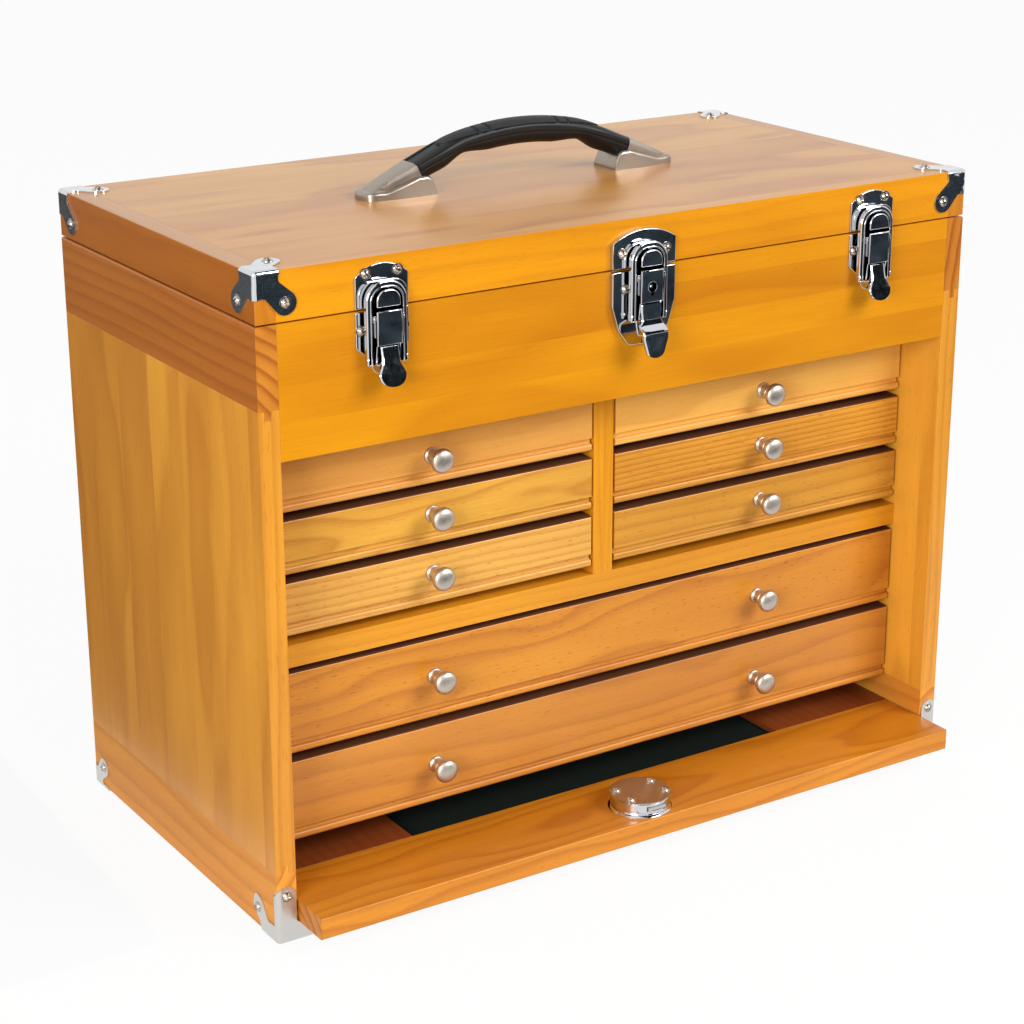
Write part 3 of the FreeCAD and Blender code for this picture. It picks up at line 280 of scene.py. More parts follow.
def pineGrainGroup():
    # softwood in the round: rings about a pith beside each glued strip, so faces, edges and ends agree
    look = pineLook
    group = bpy.data.node_groups.new("pineGrain", "ShaderNodeTree")
    sockets = [("Place", "Vector")] + [(name, "Float") for name in
                                       ("Strip", "Shift", "Seed", "Spacing", "Pith", "Wander", "Luck")]
    for name, kind in sockets:
        group.interface.new_socket(name, in_out="INPUT", socket_type="NodeSocket" + kind)
    for name in ("Ring", "Fibre", "Blotch", "Resin", "Tone"):
        group.interface.new_socket(name, in_out="OUTPUT", socket_type="NodeSocketFloat")
    source = group.nodes.new("NodeGroupInput").outputs
    sink = group.nodes.new("NodeGroupOutput")
    values = {name: source[name] for name, kind in sockets}
    values["along"], values["across"], values["deep"] = addNode(group, "SeparateXYZ", [source["Place"]]).outputs[:3]
    # each line of a table names its result, which the lines below it can use
    for result, operation, a, b in (
            ("shifted", "ADD", "across", "Shift"),
            ("share", "DIVIDE", "shifted", "Strip"),
            ("strip", "FLOOR", "share", 0.0),
            ("spaced", "MULTIPLY", "strip", 7.31),
            ("key", "ADD", "spaced", "Seed")):
        values[result] = addNode(group, "Math", (values.get(a, a), values.get(b, b)), operation=operation)
    luck = addNode(group, "TexWhiteNoise", {"W": values["key"]}, noise_dimensions="1D").outputs
    chances = addNode(group, "SeparateColor", [luck["Color"]]).outputs
    values["chance"], values["depthChance"], values["leanChance"] = chances[:3]
    stray = addNode(group, "VectorMath", (luck["Color"], (311.0, 97.0, 53.0)), operation="MULTIPLY")
    place = addNode(group, "VectorMath", (source["Place"], stray), operation="ADD")

    fine, wide = 1 / look["fibreWidth"], 1 / look["blotchLength"]
    noises = {}
    for name, scale, detail, roughness in (
            ("wander", (0.0042, 0.016, 0.016), 2.0, 0.45),
            ("resin", (1 / look["resinLength"], 1.1, 1.1), 0.0, 0.5),
            ("fibre", (0.02, fine, fine), 3.0, 0.6),
            ("blotch", (0.35 * wide, 1.6 * wide, 1.6 * wide), 3.0, 0.55)):
        stretched = addNode(group, "VectorMath", (place, scale), operation="MULTIPLY")
        noises[name] = addNode(group, "TexNoise", {"Vector": stretched, "Scale": 1.0, "Detail": detail,
                                                   "Roughness": roughness})
    values["noise"] = noises["wander"]
    for result, operation, a, b in (
            ("centred", "ADD", "strip", 0.5),
            ("middle", "MULTIPLY", "centred", "Strip"),
            ("chance", "SUBTRACT", "chance", 0.5),
            ("chance", "MULTIPLY", "chance", "Strip"),
            ("offset", "MULTIPLY", "chance", "Luck"),
            ("leanChance", "SUBTRACT", "leanChance", 0.5),
            ("leanChance", "MULTIPLY", "leanChance", 0.05),
            ("lean", "MULTIPLY", "leanChance", "Luck"),
            ("fromMiddle", "SUBTRACT", "shifted", "middle"),
            ("fromMiddle", "ADD", "fromMiddle", "offset"),
            ("leaning", "MULTIPLY", "along", "lean"),
            ("fromPith", "ADD", "fromMiddle", "leaning"),
            ("depthChance", "SUBTRACT", "depthChance", 0.75),
            ("depthLuck", "MULTIPLY", "depthChance", "Luck"),
            ("pithDepth", "ADD", "depthLuck", 1.0),
            ("pithDepth", "MULTIPLY", "pithDepth", "Pith"),
            ("under", "ADD", "deep", "pithDepth"),
            ("noise", "SUBTRACT", "noise", 0.5),
            ("wander", "MULTIPLY", "noise", "Wander"),
            ("fromPith", "MULTIPLY", "fromPith", "fromPith"),
            ("under", "MULTIPLY", "under", "under"),
            ("squares", "ADD", "fromPith", "under"),
            ("radius", "SQRT", "squares", 0.0),
            ("radius", "ADD", "radius", "wander"),
            ("turn", "DIVIDE", "radius", "Spacing"),
            ("turn", "FRACT", "turn", 0.0)):
        values[result] = addNode(group, "Math", (values.get(a, a), values.get(b, b)), operation=operation)
    ring = addNode(group, "ValToRGB", [values["turn"]])
    stops = ring.color_ramp.elements
    for i, level in enumerate((look["ringStart"], look["ringEnd"])):
        stops[i].color = (level, level, level, 1)
    for position, level in look["ringStops"]:
        stops.new(position).color = (level, level, level, 1)
    fill(sink, {"Ring": ring, "Fibre": noises["fibre"], "Blotch": noises["blotch"], "Tone": luck["Value"],
                "Resin": addNode(group, "MapRange", (noises["resin"], 0.7, 0.8, 0.0, 1.0))})
    return group


pineGrain = pineGrainGroup()


def pine(name, grain, pale, dark, strip=400.0, shift=0.0, seed=1.0, spacing=5.5, pith=60.0, contrast=0.6,
         toneSpread=0.1, resin=0.12, endDark=0.3, wander=None, roughness=0.36, lacquer=0.15, heart=None,
         endRings=1.0):
    # stained pine under satin lacquer: warm, with soft rings that follow the board and a low sheen
    # grain names the axes along, across and through the board, such as "XZY"
    # heart places the pith of a board sawn in one piece, in mm across and through it
    look = pineLook
    if heart:
        wholeBoard = 4000.0      # mm, so wide that the board is a single strip
        strip, shift, pith = wholeBoard, wholeBoard / 2 - heart[0], -heart[1]
    material, tree, shader = newMaterial(name, {
        "Roughness": roughness, "IOR": look["ior"], "Coat Weight": lacquer,
        "Coat Roughness": look["coatRoughness"], "Specular IOR Level": look["specular"]})
    axes = addNode(tree, "SeparateXYZ", [addNode(tree, "TexCoord").outputs["Object"]]).outputs
    order = ["XYZ".index(letter) for letter in grain]
    turned = addNode(tree, "CombineXYZ", [axes[axis] for axis in order])
    inMm = addNode(tree, "VectorMath", {0: turned, "Scale": 1 / mm}, operation="SCALE")
    wood = addNode(tree, "Group", {
        "Place": inMm, "Strip": strip, "Shift": shift, "Seed": seed, "Spacing": spacing, "Pith": pith,
        "Wander": wander or look["ringWander"], "Luck": 0.0 if heart else 1.0}, node_tree=pineGrain).outputs
    normal = addNode(tree, "SeparateXYZ", [addNode(tree, "NewGeometry").outputs["Normal"]])
    endGrain = addNode(tree, "Math", [normal.outputs[order[0]]], operation="ABSOLUTE")
    depth = addNode(tree, "MapRange", (endGrain, 0.6, 0.95, contrast, min(1.0, contrast * endRings)))
    rings = addNode(tree, "Math", (wood["Ring"], depth), operation="MULTIPLY")
    # a colour Mix keeps its colour sockets at 6 and 7 and its result at 2
    stained = addNode(tree, "Mix", {0: rings, 6: srgb(pale), 7: srgb(dark)}, data_type="RGBA").outputs[2]
    level = addNode(tree, "MapRange", (wood["Blotch"], 0.3, 0.7, 0.87, 1.09))
    for limits in ((wood["Fibre"], 0.3, 0.7, 0.95, 1.04),
                   (wood["Tone"], 0.0, 1.0, 1 - toneSpread, 1 + toneSpread * 0.6),
                   (wood["Resin"], 0.0, 1.0, 1.0, 1 - resin),
                   (endGrain, 0.6, 0.95, 1.0, 1 - endDark)):
        factor = addNode(tree, "MapRange", limits)
        level = addNode(tree, "Math", (level, factor), operation="MULTIPLY")
    # where the stain is deeper it is redder too, so green and blue fall faster than red
    green, blue = (addNode(tree, "Math", (level, power), operation="POWER") for power in (1.5, 2.0))
    veil = addNode(tree, "CombineColor", (level, green, blue))
    colour = addNode(tree, "Mix", {0: 1.0, 6: stained, 7: veil}, data_type="RGBA", blend_type="MULTIPLY")
    relief = addNode(tree, "Math", (wood["Fibre"], rings), operation="ADD")
    fill(shader, {"Base Color": colour.outputs[2], "Normal": addNode(
        tree, "Bump", {"Height": relief, "Strength": 0.15, "Distance": look["bump"] * mm})})
    return material


def brushed(name, colour, roughness, hazeRoughness, hazePerMetre, wave=0.0, ribs=0.0):
    # metal with a fine haze in its polish, so that the shine isn't even
    # wave is the depth in mm of a pressed sheet's slow waves, and ribs how many mm apart its rolled ribs are
    material, tree, shader = newMaterial(name, {"Metallic": 1.0, "Base Color": srgb(colour)})
    place = addNode(tree, "TexCoord").outputs["Object"]
    haze = addNode(tree, "TexNoise", {"Vector": place, "Scale": hazePerMetre, "Detail": 4.0})
    fill(shader, {"Roughness": addNode(tree, "MapRange", (haze, 0.35, 0.65, roughness,
                                                          roughness + hazeRoughness))})
    bump = None
    if wave:      # about 14 mm long
        sheet = addNode(tree, "TexNoise", {"Vector": place, "Scale": 70.0, "Detail": 2.0})
        bump = {"Height": sheet, "Strength": 1.0, "Distance": wave * mm}
    if ribs:
        perRib = 0.314      # metres between the lines of a wave texture whose scale is 1
        lines = addNode(tree, "TexWave", {"Vector": place, "Scale": perRib / (ribs * mm)}).outputs["Fac"]
        bump = {"Height": lines, "Strength": 0.7, "Distance": 0.25 * mm}
    if bump:
        fill(shader, {"Normal": addNode(tree, "Bump", bump)})
    return material


metals = {
    # name, colour, roughness, how much the haze adds, its patches to the metre: 300 are 3.3 mm wide
    "chrome": brushed("chromePlate", "#D4D6DA", 0.04, 0.05, 300.0),              # hard and bright
    "pressed": brushed("pressedChrome", "#D4D6DA", 0.05, 0.06, 300.0, wave=0.9),    # bright, a little wavy
    "screw": brushed("nickelScrew", "#BDB3A8", 0.14, 0.10, 900.0),               # warm nickel
    "knob": brushed("satinNickelKnob", "#CBC1B5", 0.36, 0.08, 500.0),            # soft broad highlight
    "guard": brushed("zincSteelGuard", "#D2CFCA", 0.28, 0.12, 700.0, wave=0.6),     # greyer than the chrome
    "shoe": brushed("satinNickelCasting", "#A1968A", 0.30, 0.06, 250.0),         # dull, as it was cast
    "cover": brushed("ribbedNickel", "#BDB3A6", 0.14, 0.05, 200.0, ribs=1.3),    # fine lines that break the shine
    "hinge": brushed("hingeSteel", "#C4C2BE", 0.3, 0.12, 600.0),                 # plain and a little dull
}


def gripPlastic(name, colour, roughness, cellsPerMetre, relief):
    # moulded black plastic, nearly smooth or pebbled: a soft sheen in place of a mirror
    # 1100 cells to the metre are pebbles 0.9 mm across
    material, tree, shader = newMaterial(name, {"Roughness": roughness, "IOR": 1.5, "Specular IOR Level": 0.3,
                                                "Base Color": srgb(colour)})
    place = addNode(tree, "TexCoord").outputs["Object"]
    cells = addNode(tree, "TexVoronoi", {"Vector": place, "Scale": cellsPerMetre})
    fill(shader, {"Normal": addNode(tree, "Bump", {"Height": cells, "Strength": relief, "Distance": 0.25 * mm})})
    return material


def felt(name, colour, deep):
    # short-napped felt: matt and soft, with tufts 0.4 mm across
    material, tree, shader = newMaterial(name, {"Roughness": 0.95, "Sheen Weight": 0.03,
                                                "Specular IOR Level": 0.0})
    place = addNode(tree, "TexCoord").outputs["Object"]
    nap = addNode(tree, "TexNoise", {"Vector": place, "Scale": 1 / (0.4 * mm), "Detail": 5.0, "Roughness": 0.7})
    tint = addNode(tree, "Mix", {0: nap, 6: srgb(colour), 7: srgb(deep)}, data_type="RGBA")
    fill(shader, {"Base Color": tint.outputs[2],
                  "Normal": addNode(tree, "Bump", {"Height": nap, "Strength": 0.6, "Distance": 0.3 * mm})})
    return material


cameraLook = {
    "place": (-559.3, -1129.0, 708.4),   # mm from the case's front left corner on the floor
    "turn": 32.641, "dip": 19.296, "roll": -0.177,
    "lens": 84.574, "sensor": 36.0, "farthest": 50.0,
}
studio = {
    "world": 0.48,          # how strongly the white room lights the chest
    "paper": "#F6F6F5", "paperHalf": 12,
    "paperGlow": 0.93,      # how far the paper is seen as plain white, which leaves a faint shadow
    "lampTarget": (0, 0, 0.15),
    "patches": 11.0,        # paler patches to the metre, about
}
lamps = {
    # name: place in metres about the chest's middle, side in metres, watts
    "keyLight": ((1.3, -2.1, 1.65), 1.4, 64),
    "fillLight": ((-2.0, -1.4, 0.9), 1.0, 38),
}
cardTones = {
    # the card's colour and that of its paler patches
    "black": ("#161B1F", "#414B52"), "grey": ("#606264", "#8A8C8E"), "shine": ("#161B1F", "#2A3238"),
}
cards = {
    # what the metal and lacquer reflect; name: tone and corners in metres about the chest's middle
    "frontFloorCard": ("black", [(-0.35, -0.47, 0.002), (-0.35, -2.6, 0.002), (2.4, -2.6, 0.002),
                                 (2.4, -0.47, 0.002)]),
    "frontCurtain": ("black", [(-0.1, -3.2, 0), (3.4, -3.2, 0), (3.4, -3.2, 4.5), (-0.1, -3.2, 4.5)]),
    "frontCeiling": ("shine", [(-0.6, -3.2, 4.5), (3.4, -3.2, 4.5), (3.4, -0.5, 4.5), (-0.6, -0.5, 4.5)]),
    "sideFloorCard": ("grey", [(-0.31, -0.08, 0.002), (-2.4, -0.08, 0.002), (-2.4, 2.6, 0.002),
                               (0.54, 2.6, 0.002), (-0.28, 0.5, 0.002)]),
}


def addCamera():
    look = cameraLook
    turn, dip, roll = (radians(look[k]) for k in ("turn", "dip", "roll"))
    ahead = Vector((sin(turn) * cos(dip), cos(turn) * cos(dip), -sin(dip)))
    right = Vector((cos(turn), -sin(turn), 0.0))
    up = right.cross(ahead)
    side = right * cos(roll) + up * sin(roll)
    top = up * cos(roll) - right * sin(roll)
    data = bpy.data.cameras.new("camera")
    data.lens, data.sensor_width, data.clip_end = look["lens"], look["sensor"], look["farthest"]
    camera = bpy.data.objects.new("camera", data)
    basis = Matrix((side, top, -ahead)).transposed().to_4x4()
    camera.matrix_world = Matrix.Translation(origin + Vector(look["place"]) * mm) @ basis
    bpy.context.scene.collection.objects.link(camera)
    bpy.context.scene.camera = camera


def addLamps():
    for name, (place, side, watts) in lamps.items():
        data = bpy.data.lights.new(name, "AREA")
        data.shape, data.size, data.size_y, data.energy = "RECTANGLE", side, side, watts
        lamp = bpy.data.objects.new(name, data)
        lamp.location = place
        ahead = Vector(studio["lampTarget"]) - Vector(place)
        lamp.rotation_euler = ahead.to_track_quat("-Z", "Y").to_euler()
        bpy.context.scene.collection.objects.link(lamp)


def stagePlane(name, corners, material):
    mesh = bpy.data.meshes.new(name)
    mesh.from_pydata(corners, [], [tuple(range(len(corners)))])
    mesh.materials.append(material)
    plane = bpy.data.objects.new(name, mesh)
    bpy.context.scene.collection.objects.link(plane)


def anyOf(tree, ray, kinds):
    # 1 for a ray of any of these kinds
    seen = ray[kinds[0]]
    for kind in kinds[1:]:
        seen = addNode(tree, "Math", (seen, ray[kind]), operation="MAXIMUM")
    return seen


def addStudio():
    scene = bpy.context.scene
    scene.view_settings.view_transform = "Standard"
    scene.world = bpy.data.worlds.new("studio")
    scene.world.use_nodes = True
    tree = scene.world.node_tree
    plainRays = ("Is Camera Ray", "Is Glossy Ray", "Is Transmission Ray")    # these see plain white
    seen = anyOf(tree, addNode(tree, "LightPath").outputs, plainRays)
    strength = addNode(tree, "MapRange", (seen, 0, 1, studio["world"], 1.0))
    fill(tree.nodes["Background"], {"Color": (1, 1, 1, 1), "Strength": strength})
    addLamps()

    look = {"Roughness": 0.9, "Specular IOR Level": 0.0, "Base Color": srgb(studio["paper"])}    # matt, white sweep
    paper, tree, shader = newMaterial("whitePaper", look)
    seen = anyOf(tree, addNode(tree, "LightPath").outputs, plainRays)
    glow = addNode(tree, "Emission", {"Strength": 1.0})
    share = addNode(tree, "Math", (seen, studio["paperGlow"]), operation="MULTIPLY")
    fill(tree.nodes["Material Output"], {"Surface": addNode(tree, "MixShader", (share, shader, glow))})
    half = studio["paperHalf"]
    stagePlane("paper", [(-half, -half, 0), (half, -half, 0), (half, half, 0), (-half, half, 0)], paper)
    cardboard = {}
    for tone, (deep, pale) in cardTones.items():      # matt card that the plain view looks through
        cardboard[tone], tree, shader = newMaterial(tone + "Card", {"Roughness": 1.0, "Specular IOR Level": 0.0})
        place = addNode(tree, "TexCoord").outputs["Object"]
        cloud = addNode(tree, "TexNoise", {"Vector": place, "Scale": studio["patches"], "Detail": 3.0})
        share = addNode(tree, "MapRange", (cloud, 0.42, 0.72, 0, 1))
        tint = addNode(tree, "Mix", {0: share, 6: srgb(deep), 7: srgb(pale)}, data_type="RGBA")
        fill(shader, {"Base Color": tint.outputs[2]})
        ray = addNode(tree, "LightPath").outputs
        if tone == "shine":      # this one only takes the white out of reflections
            through = addNode(tree, "Math", (1.0, ray["Is Glossy Ray"]), operation="SUBTRACT")
        else:
            through = anyOf(tree, ray, ("Is Camera Ray", "Is Shadow Ray"))
        both = addNode(tree, "MixShader", (through, shader, addNode(tree, "BsdfTransparent")))
        fill(tree.nodes["Material Output"], {"Surface": both})
    for name, (tone, corners) in cards.items():
        stagePlane(name, corners, cardboard[tone])


addCamera()
addStudio()
print("camera and studio")

chest = {
    # mm from the case's front left corner on the floor
    "width": 510.0, "depth": 265.0, "bottom": 1.0, "top": 375.0, "board": 13.0, "back": 6.0,
    "bandLow": 327.0, "footHigh": 45.0, "headerLow": 296.6, "recess": 36.5,    # how far back the drawers sit
    "shelf": (156.4, 170.6), "divider": (247.75, 262.25),
    "tongueNear": 3.8, "tongueFar": 8.2, "tongueDepth": 5.5,
    "lidLow": 376.0, "lidHigh": 405.0, "lidTopThick": 12.0,
    # how far edges are rounded: outside ones, and the hairlines at joints
    "outerEdge": 1.5, "backEdge": 0.4, "lidEdge": 0.7, "joint": 0.15, "lidJoint": 0.08,
}
middle = chest["width"] / 2
caseBox = (0, 0, chest["bottom"]), (chest["width"], chest["depth"], chest["top"])
lidBox = (0, 0, chest["lidLow"]), (chest["width"], chest["depth"], chest["lidHigh"])
squareOn = 0.7    # a face counts as facing a way when its normal has this much of it


def easedBoard(bm, around=None, outer=None, joint=None):
    # edges on two faces of the box around are rounded as outside edges, and all others as joints
    def outside(edge):
        spot = (edge.verts[0].co + edge.verts[1].co) / 2
        return around and sum(any(abs(spot[i] - corner[i]) < touching for corner in around) for i in range(3)) >= 2
    picked = {e.index for e in bm.edges if outside(e)}
    turning = [e for e in bm.edges if len(e.link_faces) == 2 and e.calc_face_angle(0) > sharp]
    inner = [e for e in turning if e.index not in picked]
    outerEdges = [e for e in turning if e.index in picked]
    bmesh.ops.bevel(bm, geom=inner, offset=joint or chest["joint"], segments=1, affect="EDGES", profile=0.5,
                    clamp_overlap=True)
    alive = [e for e in outerEdges if e.is_valid]
    bmesh.ops.bevel(bm, geom=alive, offset=outer or chest["outerEdge"], segments=3, affect="EDGES", profile=0.5,
                    clamp_overlap=True)
    return bm


def sideOutline(low, high, tongueLow, tongueHigh, right):
    # across the thickness of a side, with a tongue (1) or a groove (-1) at its edges
    near, far, depth, board = (chest[k] for k in ("tongueNear", "tongueFar", "tongueDepth", "board"))
    points = [(0, low)]
    if tongueLow:
        points += [(near, low), (near, low - tongueLow * depth), (far, low - tongueLow * depth), (far, low)]
    points += [(board, low), (board, high)]
    if tongueHigh:
        points += [(far, high), (far, high + tongueHigh * depth), (near, high + tongueHigh * depth), (near, high)]
    points.append((0, high))
    return [(chest["width"] - a, b) for a, b in points] if right else points


def sideBoard(name, low, high, tongueLow, tongueHigh, right, material, node):
    outline = sideOutline(low, high, tongueLow, tongueHigh, right)
    bm = easedBoard(prism(outline, 1, 0, chest["depth"]), caseBox)
    return addPiece(name, bm, "case", material, "lacquered_pine", (node,))


def addSides():
    bandLook = dict(grain="YZX", pale="#AE641C", dark="#84400F", spacing=7.5, contrast=0.4, wander=13,
                    endDark=-0.35, endRings=2.3)
    bandPines = [pine("leftBandPine", seed=3, heart=(225, -346), **bandLook),
                 pine("rightBandPine", seed=6, heart=(330, 375), **bandLook)]
    footLook = dict(grain="YZX", pale="#DC9236", dark="#B2661E", spacing=9, contrast=0.4, wander=20,
                    endDark=-0.1, endRings=2.0, lacquer=0.0, roughness=0.5)
    footPines = [pine("leftFootPine", seed=8, heart=(90, -330), **footLook),
                 pine("rightFootPine", seed=9, heart=(-40, 300), **footLook)]
    plankLook = dict(grain="ZYX", strip=44, shift=20, seed=59101, spacing=6.5, contrast=0.36, pith=90, wander=15,
                     endDark=0.0)
    plankPine = pine("sidePlankPine", pale="#D8922E", dark="#A65E16", toneSpread=0.15, **plankLook)
    # a paler copy of the plank pine for the faces towards the drawers: painted light, where the inner wall beside
    # the drawers is lit
    paintedLightInnerPlankPine = pine("paintedLightInnerPlankPine", pale="#EAA739", dark="#B8731E", toneSpread=0.1, **plankLook)
    foot, band = chest["footHigh"], chest["bandLow"]
    for right, label in enumerate(("left", "right")):
        sideBoard(label + "TopBand", band, chest["top"], 1, 0, right, bandPines[right], "side_crossbands")
        sideBoard(label + "BottomBand", chest["bottom"], foot, 0, 1, right, footPines[right], "side_crossbands")
        planks = sideBoard(label + "Planks", foot, band, -1, -1, right, plankPine, "side_planks")
        inwards = -1 if right else 1
        # the inner faces take the paler copy, which is painted light
        coatFaces(planks, paintedLightInnerPlankPine, lambda face: inwards * face.normal.x > squareOn)    # towards the drawers


def addCaseBoards():
    inner = chest["board"], chest["width"] - chest["board"]
    behind = chest["recess"], chest["depth"] - chest["back"]
    headerPine = pine("headerPine", "XZY", "#D68C0B", "#B46806", strip=22, shift=12, seed=14577, spacing=10,
                      contrast=0.4, wander=24, toneSpread=0.1, pith=70, resin=0.06)
    shelfPine = pine("shelfPine", "XZY", "#DB9420", "#BE7818", seed=21, contrast=0.35, spacing=6)
    dividerPine = pine("dividerPine", "ZXY", "#DF971C", "#C07414", seed=24, contrast=0.35, spacing=6)
    backPly = pine("backPlywood", "ZXY", "#C68A40", "#A66C28", strip=170, seed=40, spacing=14, contrast=0.4,
                   toneSpread=0.03, pith=30)
    for name, xs, ys, zs, around, wood, slotName, node in (
            ("headerBoard", inner, (0, chest["board"]), (chest["headerLow"], chest["top"]), caseBox, headerPine,
             "lacquered_pine", "header_board"),
            ("drawerShelf", inner, behind, chest["shelf"], None, shelfPine, "lacquered_pine", "drawer_shelf"),
            ("centreDivider", chest["divider"], behind, (chest["shelf"][1], chest["headerLow"]), None, dividerPine,
             "lacquered_pine", "centre_divider"),
            ("backPanel", inner, (behind[1], chest["depth"]), (chest["bottom"], chest["top"]), caseBox, backPly,
             "plywood", "back_panel")):
        outer = chest["backEdge"] if name == "backPanel" else None
        addPiece(name, easedBoard(box(xs, ys, zs), around, outer), "case", wood, slotName, (node,))


def topFaces(piece, material):
    # gives the faces on the very top a second material: on the lid rails where the board shows another side, on the
    # drawer fronts a painted shade for the gaps
    top = max(vert.co.z for vert in piece.data.vertices) - 2 * mm
    coatFaces(piece, material, lambda face: face.normal.z > squareOn and face.center.z > top)


def addLid():
    board, width, depth, low, high = (chest[k] for k in ("board", "width", "depth", "lidLow", "lidHigh"))
    endPine = pine("lidEndPine", "YZX", "#AE6414", "#90490C", seed=52, spacing=9, contrast=0.3, heart=(330, -400),
                   endDark=-0.45)
    frontPine = pine("lidFrontPine", "XZY", "#DD900D", "#C0760A", seed=57, spacing=7, contrast=0.35,
                     heart=(300, 20), resin=0.08)
    topPine = pine("lidTopPine", "XYZ", "#D89A46", "#B8702C", strip=48, shift=13, seed=15087, spacing=8,
                   contrast=0.7, toneSpread=0.12, pith=45, wander=26, roughness=0.3, lacquer=0.15)
    stripPine = pine("lidStripPine", "YXZ", "#C98F52", "#B47840", seed=70, spacing=9, contrast=0.3, heart=(0, -80),
                     roughness=0.3)
    inner = board, width - board
    for name, spans, joint, wood, topWood, node in (
            ("lidEndRails", [((0, board), (0, depth)), ((inner[1], width), (0, depth))], None, endPine, stripPine,
             "lid_end_rails"),
            ("lidLongRails", [(inner, (0, board)), (inner, (depth - board, depth))], chest["lidJoint"], frontPine,
             topPine, "lid_long_rails")):
        rails = [easedBoard(box(xs, ys, (low, high)), lidBox, chest["lidEdge"], joint) for xs, ys in spans]
        topFaces(addPiece(name, merged(rails), "lid", wood, "lacquered_pine", (node,)), topWood)
    panel = box(inner, (board, depth - board), (high - chest["lidTopThick"], high))
    addPiece("lidTopBoard", easedBoard(panel, joint=chest["lidJoint"]), "lid", topPine, "lacquered_pine",
             ("lid_top_board",))


addSides()
addCaseBoards()
insidePine = pine("innerPine", "XYZ", "#C98A3C", "#A96C28", seed=31, contrast=0.4)
for node in ("till_floor", "base_board", "drawer_runners"):
    coatNode(node, insidePine)
addLid()
print("case and lid boards")


drawerLooks = {
    # name: pale, dark, seed, ring spacing, contrast, resin, ring wander, where the pith lies across and behind
    "left_upper": ("#E5A54F", "#C6843C", 101, 9, 0.22, 0.1, 18, (30, 40)),
    "left_middle": ("#DCA441", "#B8742B", 117, 6, 0.5, 0.1, 42, (-4, 24)),
    "left_lower": ("#E5AE54", "#BF7F35", 123, 4, 0.42, 0.25, 12, (60, 60)),
    "right_upper": ("#ECB052", "#CC853E", 131, 8, 0.3, 0.08, 46, (6, 26)),
    "right_middle": ("#DB9935", "#AF6D22", 147, 3.2, 0.55, 0.2, 9, (90, 60)),
    "right_lower": ("#CF9233", "#AE7427", 155, 7, 0.42, 0.25, 20, (40, 30)),
    "wide_upper": ("#D08829", "#A65C1F", 162, 7, 0.42, 0.3, 44, (-8, 34)),
    "wide_lower": ("#CE8934", "#AC692B", 178, 9, 0.4, 0.12, 30, (30, 40)),
}
drawerForm = {
    "lip": 5.0, "grooveTop": 8.3, "grooveDepth": 2.5, "thick": 14.0, "gap": 1.5, "endEdge": 0.7,
    "dividerGap": 1.5, "pithBack": 84, "ringShare": 1.25,
    "knobSteps": 48, "knobReach": 124.3,    # the knobs' distance from the chest's middle
}
drawerRows = {
    # name: the front's bottom and top, and the knob's height
    "upper": (252.2, 285.8, 270.2), "middle": (214.1, 247.7, 233.8), "lower": (176.0, 209.6, 196.0),
    "wide_upper": (100.9, 153.1, 128.7), "wide_lower": (43.9, 96.1, 69.8),
}
knobProfile = [(0, 0), (5.2, 0), (5.2, 1.3), (4.9, 1.6), (4.1, 2.1), (3.9, 3.0), (3.9, 6.4), (4.3, 6.9), (5.1, 7.1),
               (5.1, 7.9), (4.7, 8.3), (5.6, 9.4), (6.7, 10.5), (7.3, 11.6), (7.5, 12.8), (7.35, 13.9), (6.8, 14.8),
               (5.8, 15.5), (4.4, 16.0), (2.4, 16.4), (0, 16.5)]


def frontProfile(low, high):
    # the front's section: a flat face, a groove, and a rounded lip along the bottom
    f, face = drawerForm, chest["recess"]
    floor, back = face + f["grooveDepth"], face + f["thick"]
    return rounded([(face, low, 2.4), (back, low), (back, high), (face, high, 1.5),
                    (face, low + f["grooveTop"], 0.5), (floor, low + f["grooveTop"], 0.5),
                    (floor, low + f["lip"], 0.4), (face, low + f["lip"], 1.7)], 18)


def addDrawers():
    f = drawerForm
    boxPine = pine("drawerBoxPine", "YZX", "#B98244", "#9A642A", seed=91, contrast=0.35)
    # the fronts' top faces in a dark brown, unlacquered copy of the pine: painted shade, so that the gaps between
    # the drawers read dark
    paintedGapShadePine = pine("drawerTopPaintedShadePine", "XYZ", "#5C3418", "#482610", seed=93, contrast=0.3, lacquer=0.0,
                    roughness=0.7)
    left, right = chest["board"] + f["gap"], chest["width"] - chest["board"] - f["gap"]
    spans = {"left": (left, chest["divider"][0] - f["dividerGap"]),
             "right": (chest["divider"][1] + f["dividerGap"], right), "wide": (left, right)}
    for name, (pale, dark, seed, spacing, contrast, resin, wander, (across, behind)) in drawerLooks.items():
        side, row = name.split("_")
        xs, zs = spans[side], drawerRows[name if side == "wide" else row][:2]
        wood = pine(name + "FrontPine", "XZY", pale, dark, seed=seed, spacing=spacing,
                    contrast=f["ringShare"] * contrast, resin=resin, wander=wander, toneSpread=0.02, endDark=0.2,
                    heart=(sum(zs) / 2 + across, behind - f["pithBack"]))
        bm = ease(prism(frontProfile(*zs), 0, *xs), f["endEdge"], 2,
                  lambda spot, edge: min(abs(spot.x - xs[0]), abs(spot.x - xs[1])) < touching)
        # the top faces take the dark copy, which is painted shade
        topFaces(addPiece(name + "Front", bm, name + "_drawer", wood, "drawer_pine", (name + "_drawer_front",)),
                 paintedGapShadePine)
        coatNode(name + "_drawer_box", boxPine)


def addKnobs():
    knob = lathe(knobProfile, drawerForm["knobSteps"])
    for row, (low, high, z) in drawerRows.items():
        pairs = [(row, (-1, 1))] if row.startswith("wide") else [("left_" + row, (-1,)), ("right_" + row, (1,))]
        for name, sides in pairs:
            reach = drawerForm["knobReach"]
            bm = merged([moved(knob, facing((0, -1, 0), (middle + side * reach, chest["recess"], z)))
                         for side in sides])
            node = name + ("_drawer_knobs" if len(sides) > 1 else "_drawer_knob")
            addPiece(name + "Knob", bm, name + "_drawer", metals["knob"], "satin_nickel", (node,), smoothAngle=50)


addDrawers()
addKnobs()
print("drawers")


